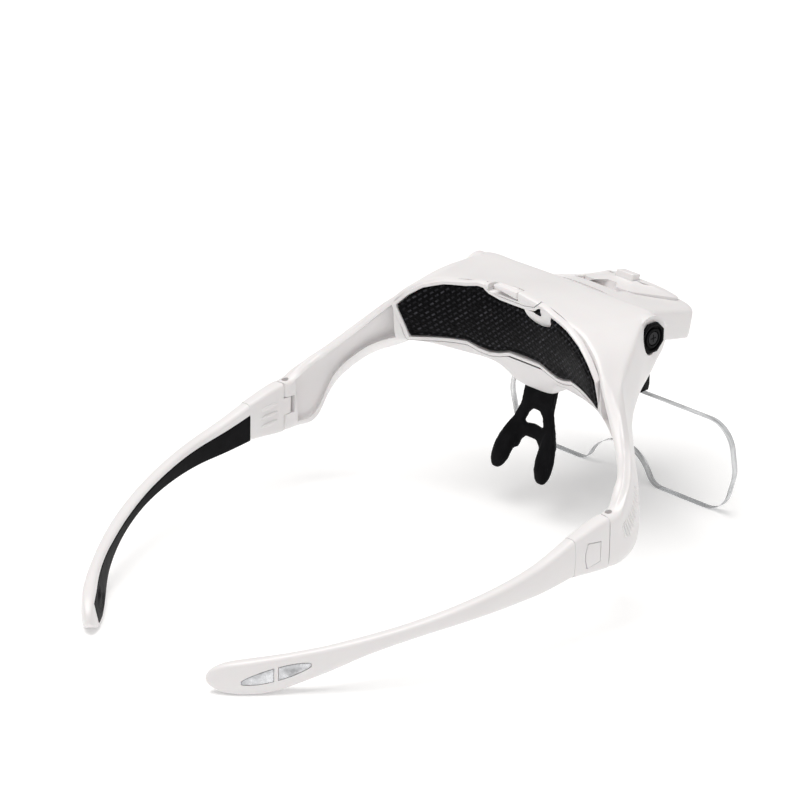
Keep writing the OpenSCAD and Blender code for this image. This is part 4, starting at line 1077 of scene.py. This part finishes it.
class MAGNIFIER_OT_lens_mount(bpy.types.Operator):
    """Hinge bracket and clip that carry the lens plate"""

    bl_idname = "magnifier.lens_mount"
    bl_label = "Lens bracket and clip"

    def execute(self, context):
        m = finishes()
        edge = context.scene.magnifier_sizes.edge
        black = m["black_abs"]
        dress_copy("lens_bracket", "hinge_bracket", edge, "light_unit", black, "black_plastic")
        dress_copy("lens_clip", "lens_holder", edge, "lens_clip", black, "black_plastic")
        dress_copy("clip_release", "release_plate", edge * 0.5, "clip_release", m["grey_release"],
                   "silver_plastic")
        paint("lens_hinge_pin", m["bright_steel"])
        return {"FINISHED"}


class MAGNIFIER_OT_lens_plate(bpy.types.Operator):
    """Clear magnifying plate"""

    bl_idname = "magnifier.lens_plate"
    bl_label = "Lens plate"

    def execute(self, context):
        plate = dress_copy("lens_plate", "magnifying_plate", 0.2, "lens_plate", finishes()["lens_face"],
                           "clear_acrylic")
        plate.data.materials.append(finishes()["acrylic_edge"])
        for face in plate.data.polygons:
            face.material_index = 0 if abs(face.normal.y) > 0.98 else 1
        return {"FINISHED"}


class MAGNIFIER_OT_knobs(bpy.types.Operator):
    """Pivot knobs, their screws and the hinge pins"""

    bl_idname = "magnifier.knobs"
    bl_label = "Knobs and pins"

    def execute(self, context):
        m = finishes()
        for side in ("left", "right"):
            dress_copy(f"pivot_knob_{side}", f"cheek_knob_{side}", 0.22, "head", m["black_abs"],
                       "black_plastic")
        paint("pivot_screws", m["dark_steel"])
        paint("temple_hinge_pins", m["bright_steel"])
        return {"FINISHED"}


class MAGNIFIER_OT_battery_bay(bpy.types.Operator):
    """Cells, tray and contacts behind the door"""

    bl_idname = "magnifier.battery_bay"
    bl_label = "Battery bay"

    def execute(self, context):
        m = finishes()
        paint("battery_cells", m["cell_sleeve"])
        paint("battery_tray", m["grey_abs"])
        paint("battery_contacts", m["bright_steel"])
        return {"FINISHED"}


# Temples

ADAPTER_Y = HINGE[1] + 2.7
ADAPTER_L = 15.5
ARM_TOP = ARM_LOW + ARM_H
LEG_START = ADAPTER_Y + ADAPTER_L
LEG_STRAIGHT, LEG_R, LEG_CURVE = 13.0, 132.0, 114.0
LEG_T = 4.6
LEG_L = LEG_STRAIGHT + LEG_CURVE
LEG_X = 78.36 - 0.25 - LEG_T / 2
# Share of the leg's length, with the height of its middle and half of its own height there
LEG_KNOTS = [(0, 26.5, 6.5), (0.1, 24, 5.2), (0.2, 22.4, 4.15), (0.35, 19.85, 3), (0.48, 17.3, 2.5),
             (0.6, 14.3, 2.95), (0.72, 10.3, 4.55), (0.83, 7.1, 5.9), (0.9, 5.95, 5.88), (0.955, 5.55, 5.13),
             (0.985, 5.35, 3.85), (1, 5.25, 2.7)]
LINER_T = 1.2
KNUCKLE_R = 2.1
ADAPTER_BORE_R = 1.25
# Inner and outer X, lower and upper Z
TONGUE = (73.3, 75.7, 22.26, 29.26)
TONGUE_ROOM = (73.15, 75.85, 22.1, 29.4)
TIP_FROM, TIP_PAST, TIP_Z = 0.9, 1.5, 5.2
# Distance past the end of the leg's middle line, with half of the leg's height there
TIP_RINGS = ((0.75, 1.93), (1.2, 1.24), (1.45, 0.5))
FACE_LEAN = 0.22
GRIP_AT, GRIP_Z, GRIP_FALL = 0.87, 5.9, 0.05
# Half length and half height of each ring on the liner
GRIP_OVALS = ((9.4, 3.3), (7.2, 2.5), (5, 1.7), (2.8, 0.9))
GRIP_R, GRIP_SINK = 0.26, 0.16
INLAY_FROM, INLAY_L, INLAY_BAR = LEG_L * 0.747, 22.2, 1.6


def block_ring(y, x_in, x_out, low, top, swell):
    return rounded([(x_in, y, top), (x_out, y, top - 0.4 + swell * 0.8), (x_out + swell, y, (low + top) / 2),
                    (x_out, y, low), (x_in, y, low)], 1.6, 4)


def tongue_block(name, limits, start, end):
    """The leg's tongue or the room for it, from start to end along Y past the leg's start."""
    x_in, x_out, low, top = limits
    return block(name, (x_in, LEG_START + start, low), (x_out, LEG_START + end, top))


def ease(value, start, span):
    """Smooth step from 0 to 1 over a span."""
    t = min(max((value - start) / span, 0), 1)
    return t * t * (3 - 2 * t)


def tip_round(s):
    """Share of the leg's thickness that is left as its tip rounds off."""
    f = min(max((s - LEG_L * TIP_FROM) / (LEG_L * 0.1 + TIP_PAST), 0), 1)
    return (1 - f * f) ** 0.4


def leg_inner(s):
    """Distance from the leg's middle line to its inner face, which swells towards the tip."""
    return (LEG_T / 2 + 0.5 - 0.8 * ease(s, 0, 32) + 1.6 * ease(s / LEG_L, 0.7, 0.22)) * tip_round(s)


def leg_place(s):
    """Plan point of the leg's middle line at a distance s, and its heading."""
    turn = max(s - LEG_STRAIGHT, 0) / LEG_R
    x = LEG_X - 2 * ease(s / LEG_L, 0.04, 0.6) + 1.2 * ease(s / LEG_L, 0.74, 0.22)
    if turn == 0:
        return x, LEG_START + s, 0.0
    return x - LEG_R * (1 - math.cos(turn)), LEG_START + LEG_STRAIGHT + LEG_R * math.sin(turn), turn


def beside_leg(s, middle, offsets):
    """Points at a distance s along the leg, from offsets outward and up."""
    x, y, turn = leg_place(s)
    c, n = math.cos(turn), math.sin(turn)
    return [(x + d * c, y + d * n, middle + z) for d, z in offsets]


def leg_ring(s, middle, half, out, inward, radius, steps=4):
    slope = FACE_LEAN * ease(s / LEG_L, 0.62, 0.24)
    ring = [(-inward, half), (out - 0.5, half), (out, 0), (out - 0.5, -half), (-inward, -half)]
    ring = [(d + slope * z if d < 0 else d, z) for d, z in ring]
    return rounded(beside_leg(s, middle, ring), radius, steps)


def liner_band(name, near, proud, grow, radius):
    """Band on the inner face: along the lower edge in front, between two rims at the tip."""
    steps = 6
    rings = []
    for k in range(-1 if grow else 0, (len(LEG_KNOTS) - 1) * steps - 10 + 1):
        s, middle, half = curve_at(LEG_KNOTS, max(k, 0) / steps)
        face = leg_inner(s * LEG_L)
        middle -= 0.28 * half * (1 - ease(s, 0.5, 0.3))
        rings.append(leg_ring(s * LEG_L - (0.5 if k < 0 else 0), middle, half * 0.72 + grow,
                              LINER_T - 0.2 - near - face, face + proud, radius, 3))
    return loft(name, rings)


def grip_ovals():
    """Low rings, one in another, that stand a little out of the liner near the tip."""
    rings = []
    for reach, rise in GRIP_OVALS:
        path = []
        for k in range(33):
            a = 2 * math.pi * k / 32
            s = LEG_L * GRIP_AT + reach * math.cos(a)
            z = rise * math.sin(a)
            d = FACE_LEAN * z - leg_inner(s) - GRIP_SINK
            path += beside_leg(s, GRIP_Z + GRIP_FALL * (LEG_L * GRIP_AT - s), [(d, z)])
        rings.append(bead("grip_oval", path, GRIP_R, 8))
    return rings


def inlay_ring(s, near, far, grow):
    f = (s - INLAY_FROM - INLAY_L / 2) / (INLAY_L / 2 + 0.6)
    half = 2.2 * max(1 - f * f, 0.04) ** 0.62 + grow
    middle = 10.1 - 5.4 * (s - INLAY_FROM) / INLAY_L
    return beside_leg(s, middle, [(near, half), (far, half), (far, -half), (near, -half)])


def inlay_part(name, part, near, far, grow):
    start = INLAY_FROM + part * (INLAY_L / 2 + INLAY_BAR / 2) - grow
    span = INLAY_L / 2 - INLAY_BAR / 2 + 2 * grow
    return loft(name, [inlay_ring(start + span * k / 24, near, far, grow) for k in range(25)])


def mirrored(piece):
    """Turns a piece made for the wearer's left into the right one."""
    piece.data.transform(Matrix.Scale(-1, 4, (1, 0, 0)))
    piece.data.flip_normals()
    return piece


class MAGNIFIER_OT_adapters(bpy.types.Operator):
    """Adapters between the arms and the legs, with their release buttons"""

    bl_idname = "magnifier.adapters"
    bl_label = "Adapters"

    def execute(self, context):
        white = finishes()["white_abs"]
        for side in ("left", "right"):
            x_in, x_out = 72.7, 78.26
            low, back_low, back_top = ARM_LOW + 0.2, ARM_LOW + 1.4, ARM_TOP - 3.6
            y = ADAPTER_Y
            body = loft(f"temple_adapter_{side}", [
                block_ring(y, x_in, x_out, low, ARM_TOP - 0.1, 0.1),
                block_ring(y + ADAPTER_L * 0.25, x_in, x_out - 0.1, low + 0.25, ARM_TOP - 0.75, 0.2),
                block_ring(y + ADAPTER_L * 0.5, x_in + 0.1, x_out - 0.2, low + 0.6, ARM_TOP - 1.6, 0.3),
                block_ring(y + ADAPTER_L * 0.75, x_in + 0.2, x_out - 0.4, low + 0.92, ARM_TOP - 2.65, 0.4),
                block_ring(y + ADAPTER_L - 0.05, x_in + 0.3, x_out - 0.6, back_low, back_top, 0.5)])
            hx, hy = HINGE
            join(body, rod("knuckle", (hx, hy, 0), KNUCKLE_R, KNUCKLE_LOW,
                           KNUCKLE_LOW + KNUCKLE_H - 0.15, "Z"))
            join(body, block("knuckle_web", (hx - KNUCKLE_R, hy, KNUCKLE_LOW),
                             (hx + KNUCKLE_R, hy + 3.4, KNUCKLE_LOW + KNUCKLE_H - 0.15)))
            cut(body, rod("pin_bore", (hx, hy, 0), ADAPTER_BORE_R, 0, 60, "Z"))
            cut(body, tongue_block("tongue_room", TONGUE_ROOM, -9.3, 3))
            ry, rz = y + ADAPTER_L * 0.48, ARM_LOW + ARM_H * 0.42
            w, h = 3.65, 4.45
            five = [(-w, -h * 0.8), (w * 0.7, -h), (w, -h * 0.3), (w, h * 0.3), (w * 0.7, h), (-w, h * 0.8)]
            cut(body, loft("button_room", [[(x, ry + a, rz + b) for a, b in five]
                                           for x in (x_out - 1.7, x_out + 3)]))
            for lift in (-3.1, 0.0, 3.1):
                path = [(x_in + 0.2, y + 2.5 + k, rz + 1.2 + lift - 0.09 * k) for k in range(9)]
                join(body, bead("grip_bar", path, 0.75))
            if side == "right":
                mirrored(body)
            dress(body, f"adapter_{side}", white, "white_plastic", f"adapter_{side}")
            dress_copy(f"release_button_{side}", f"release_key_{side}", 0.2, f"release_{side}", white,
                       "white_plastic")
        return {"FINISHED"}


class MAGNIFIER_OT_legs(bpy.types.Operator):
    """Temple legs with their liners and silver panels"""

    bl_idname = "magnifier.legs"
    bl_label = "Temple legs"

    def execute(self, context):
        m = finishes()
        steps = 6
        last = (len(LEG_KNOTS) - 1) * steps
        for side in ("left", "right"):
            rings = []
            for k in range(last + 1):
                s, middle, half = curve_at(LEG_KNOTS, k / steps)
                rings.append(leg_ring(s * LEG_L, middle, half, LEG_T / 2 * tip_round(s * LEG_L),
                                      leg_inner(s * LEG_L), 1.7 * tip_round(s * LEG_L)))
            for past, half in TIP_RINGS:
                share = tip_round(LEG_L + past)
                rings.append(leg_ring(LEG_L + past, TIP_Z, half, LEG_T / 2 * share, leg_inner(LEG_L + past),
                                      1.7 * share))
            leg = loft(f"temple_{side}", rings)
            join(leg, tongue_block("tongue", TONGUE, -9, 2))
            cut(leg, *[inlay_part("inlay_seat", part, LEG_T / 2 - 0.7, LEG_T / 2 + 1, 0.15)
                       for part in (0, 1)])
            cut(leg, liner_band("liner_bed", 0, 2, 0.04, 0.15))
            liner = liner_band(f"temple_grip_{side}", 0.03, 0.2, 0.0, 0.5)
            liner = gather(f"temple_grip_{side}", [liner] + grip_ovals())
            panels = [inlay_part(f"trim_panel_{side}_{part + 1}", part, LEG_T / 2 - 0.68, LEG_T / 2 - 0.2,
                                 -0.02) for part in (0, 1)]
            for piece in panels:
                soften(piece, 0.15)
            if side == "right":
                for piece in [leg, liner] + panels:
                    mirrored(piece)
            body = f"leg_{side}"
            dress(leg, body, m["white_abs"], "white_plastic", f"temple_leg_{side}")
            dress(liner, body, m["soft_black"], "black_rubber", f"temple_liner_{side}")
            dress(panels[0], body, m["trim_silver"], "silver_plastic", f"inlay_panels_{side}")
            dress(panels[1], body, m["trim_silver"], "silver_plastic")
        return {"FINISHED"}


# Stage

FOCAL_PX = 4963.0
VIEW_TURN, VIEW_RISE, VIEW_ROLL = 44.60, 22.98, 0.998
VIEW_DEPTH = 1688.63
VIEW_POINT = (540.35, 504.12)
FRAME_PX = 800
SENSOR_W = 36
FLOOR_REACH, FLOOR_GLOW = 4.0, 0.18
KEY_SPOT, KEY_SIZE = (0.15, 0.35, 1.9), 1.6
FILL_SPOT, FILL_SIZE, FILL_SHARE = (-1.5, -0.3, 1.0), 1.4, 0.08
LAMP_COLOUR = (1.0, 0.985, 0.97)
LAMP_AIM = (0, 0, 0.05)


def view_axes():
    turn, rise, roll = (math.radians(a) for a in (VIEW_TURN, VIEW_RISE, VIEW_ROLL))
    right = Vector((-math.cos(turn), -math.sin(turn), 0))
    back = Vector((-math.sin(turn) * math.cos(rise), math.cos(turn) * math.cos(rise), math.sin(rise)))
    up = back.cross(right)
    return (right * math.cos(roll) + up * math.sin(roll), up * math.cos(roll) - right * math.sin(roll), back)


class MAGNIFIER_OT_stage(bpy.types.Operator):
    """Floor, soft lights and the camera"""

    bl_idname = "magnifier.stage"
    bl_label = "Stage"

    def execute(self, context):
        scene = context.scene
        look = scene.magnifier_stage
        right, up, back = view_axes()
        half = FRAME_PX / 2
        shift_x = (VIEW_POINT[0] - half) / FOCAL_PX * VIEW_DEPTH
        shift_y = -(VIEW_POINT[1] - half) / FOCAL_PX * VIEW_DEPTH
        eye = back * VIEW_DEPTH - right * shift_x - up * shift_y
        camera = new_object("photo_view", bpy.data.cameras.new("photo_view"))
        axes = Matrix((right, up, back)).transposed().to_4x4()
        camera.matrix_world = Matrix.Translation(at(eye)) @ axes
        camera.data.sensor_width = SENSOR_W
        camera.data.lens = FOCAL_PX / FRAME_PX * SENSOR_W
        camera.data.clip_start = 0.1
        camera.data.clip_end = 20
        scene.camera = camera

        floor = new_object("floor", bpy.data.meshes.new("floor"))
        r = FLOOR_REACH
        floor.data.from_pydata([(-r, -r, 0), (r, -r, 0), (r, r, 0), (-r, r, 0)], [], [(0, 1, 2, 3)])
        material, tree, shader, place = new_material("floor_paper")
        shade = look.floor_shade
        tint(tree, shader, noise(tree, place, 3, 2), (shade * 0.995,) * 3, (shade,) * 3)
        put(shader, {"Roughness": 0.9, "Specular IOR Level": 0.1, "Emission Color": (1, 1, 1, 1),
                     "Emission Strength": FLOOR_GLOW})
        floor.data.materials.append(material)

        world = bpy.data.worlds.new("studio")
        scene.world = world
        world.use_nodes = True
        sky = world.node_tree.nodes["Background"]
        put(sky, {"Color": (1.0, 0.995, 0.99, 1), "Strength": look.sky})

        lights = [("key", KEY_SPOT, KEY_SIZE, look.key_power),
                  ("fill", FILL_SPOT, FILL_SIZE, look.key_power * FILL_SHARE)]
        for name, spot, size, power in lights:
            lamp = bpy.data.lights.new(name, "AREA")
            lamp.size = size
            lamp.energy = power
            lamp.color = LAMP_COLOUR
            holder = new_object(name, lamp)
            holder.location = spot
            holder.rotation_euler = (Vector(LAMP_AIM) - Vector(spot)).to_track_quat("-Z", "Y").to_euler()
        scene.view_settings.view_transform = "Standard"
        return {"FINISHED"}


class MAGNIFIER_PT_panel(bpy.types.Panel):
    """Lists the pieces of the magnifier"""

    bl_idname = "MAGNIFIER_PT_panel"
    bl_label = "Head Magnifier"
    bl_space_type = "VIEW_3D"
    bl_region_type = "UI"
    bl_category = "Magnifier"

    def draw(self, context):
        scene = context.scene
        for group in (scene.magnifier_colours, scene.magnifier_sizes, scene.magnifier_stage):
            box = self.layout.box()
            for name in group.bl_rna.properties.keys():
                if name not in ("rna_type", "name"):
                    box.prop(group, name)
        for operator in OPERATORS:
            self.layout.operator(operator.bl_idname)


GROUPS = (MagnifierColours, MagnifierSizes, MagnifierStage)
OPERATORS = (
    MAGNIFIER_OT_stage,
    MAGNIFIER_OT_brow_shell,
    MAGNIFIER_OT_door,
    MAGNIFIER_OT_forehead_pad,
    MAGNIFIER_OT_nose_pad,
    MAGNIFIER_OT_light_base,
    MAGNIFIER_OT_light_cover,
    MAGNIFIER_OT_light_inside,
    MAGNIFIER_OT_lens_mount,
    MAGNIFIER_OT_lens_plate,
    MAGNIFIER_OT_knobs,
    MAGNIFIER_OT_battery_bay,
    MAGNIFIER_OT_adapters,
    MAGNIFIER_OT_legs,
)
CLASSES = GROUPS + OPERATORS + (MAGNIFIER_PT_panel,)


def register():
    for cls in CLASSES:
        bpy.utils.register_class(cls)
    bpy.types.Scene.magnifier_colours = bpy.props.PointerProperty(type=MagnifierColours)
    bpy.types.Scene.magnifier_sizes = bpy.props.PointerProperty(type=MagnifierSizes)
    bpy.types.Scene.magnifier_stage = bpy.props.PointerProperty(type=MagnifierStage)


def unregister():
    del bpy.types.Scene.magnifier_stage
    del bpy.types.Scene.magnifier_sizes
    del bpy.types.Scene.magnifier_colours
    for cls in reversed(CLASSES):
        bpy.utils.unregister_class(cls)


def main():
    register()
    for operator in OPERATORS:
        group, name = operator.bl_idname.split(".")
        getattr(getattr(bpy.ops, group), name)()


if __name__ == "__main__":
    main()
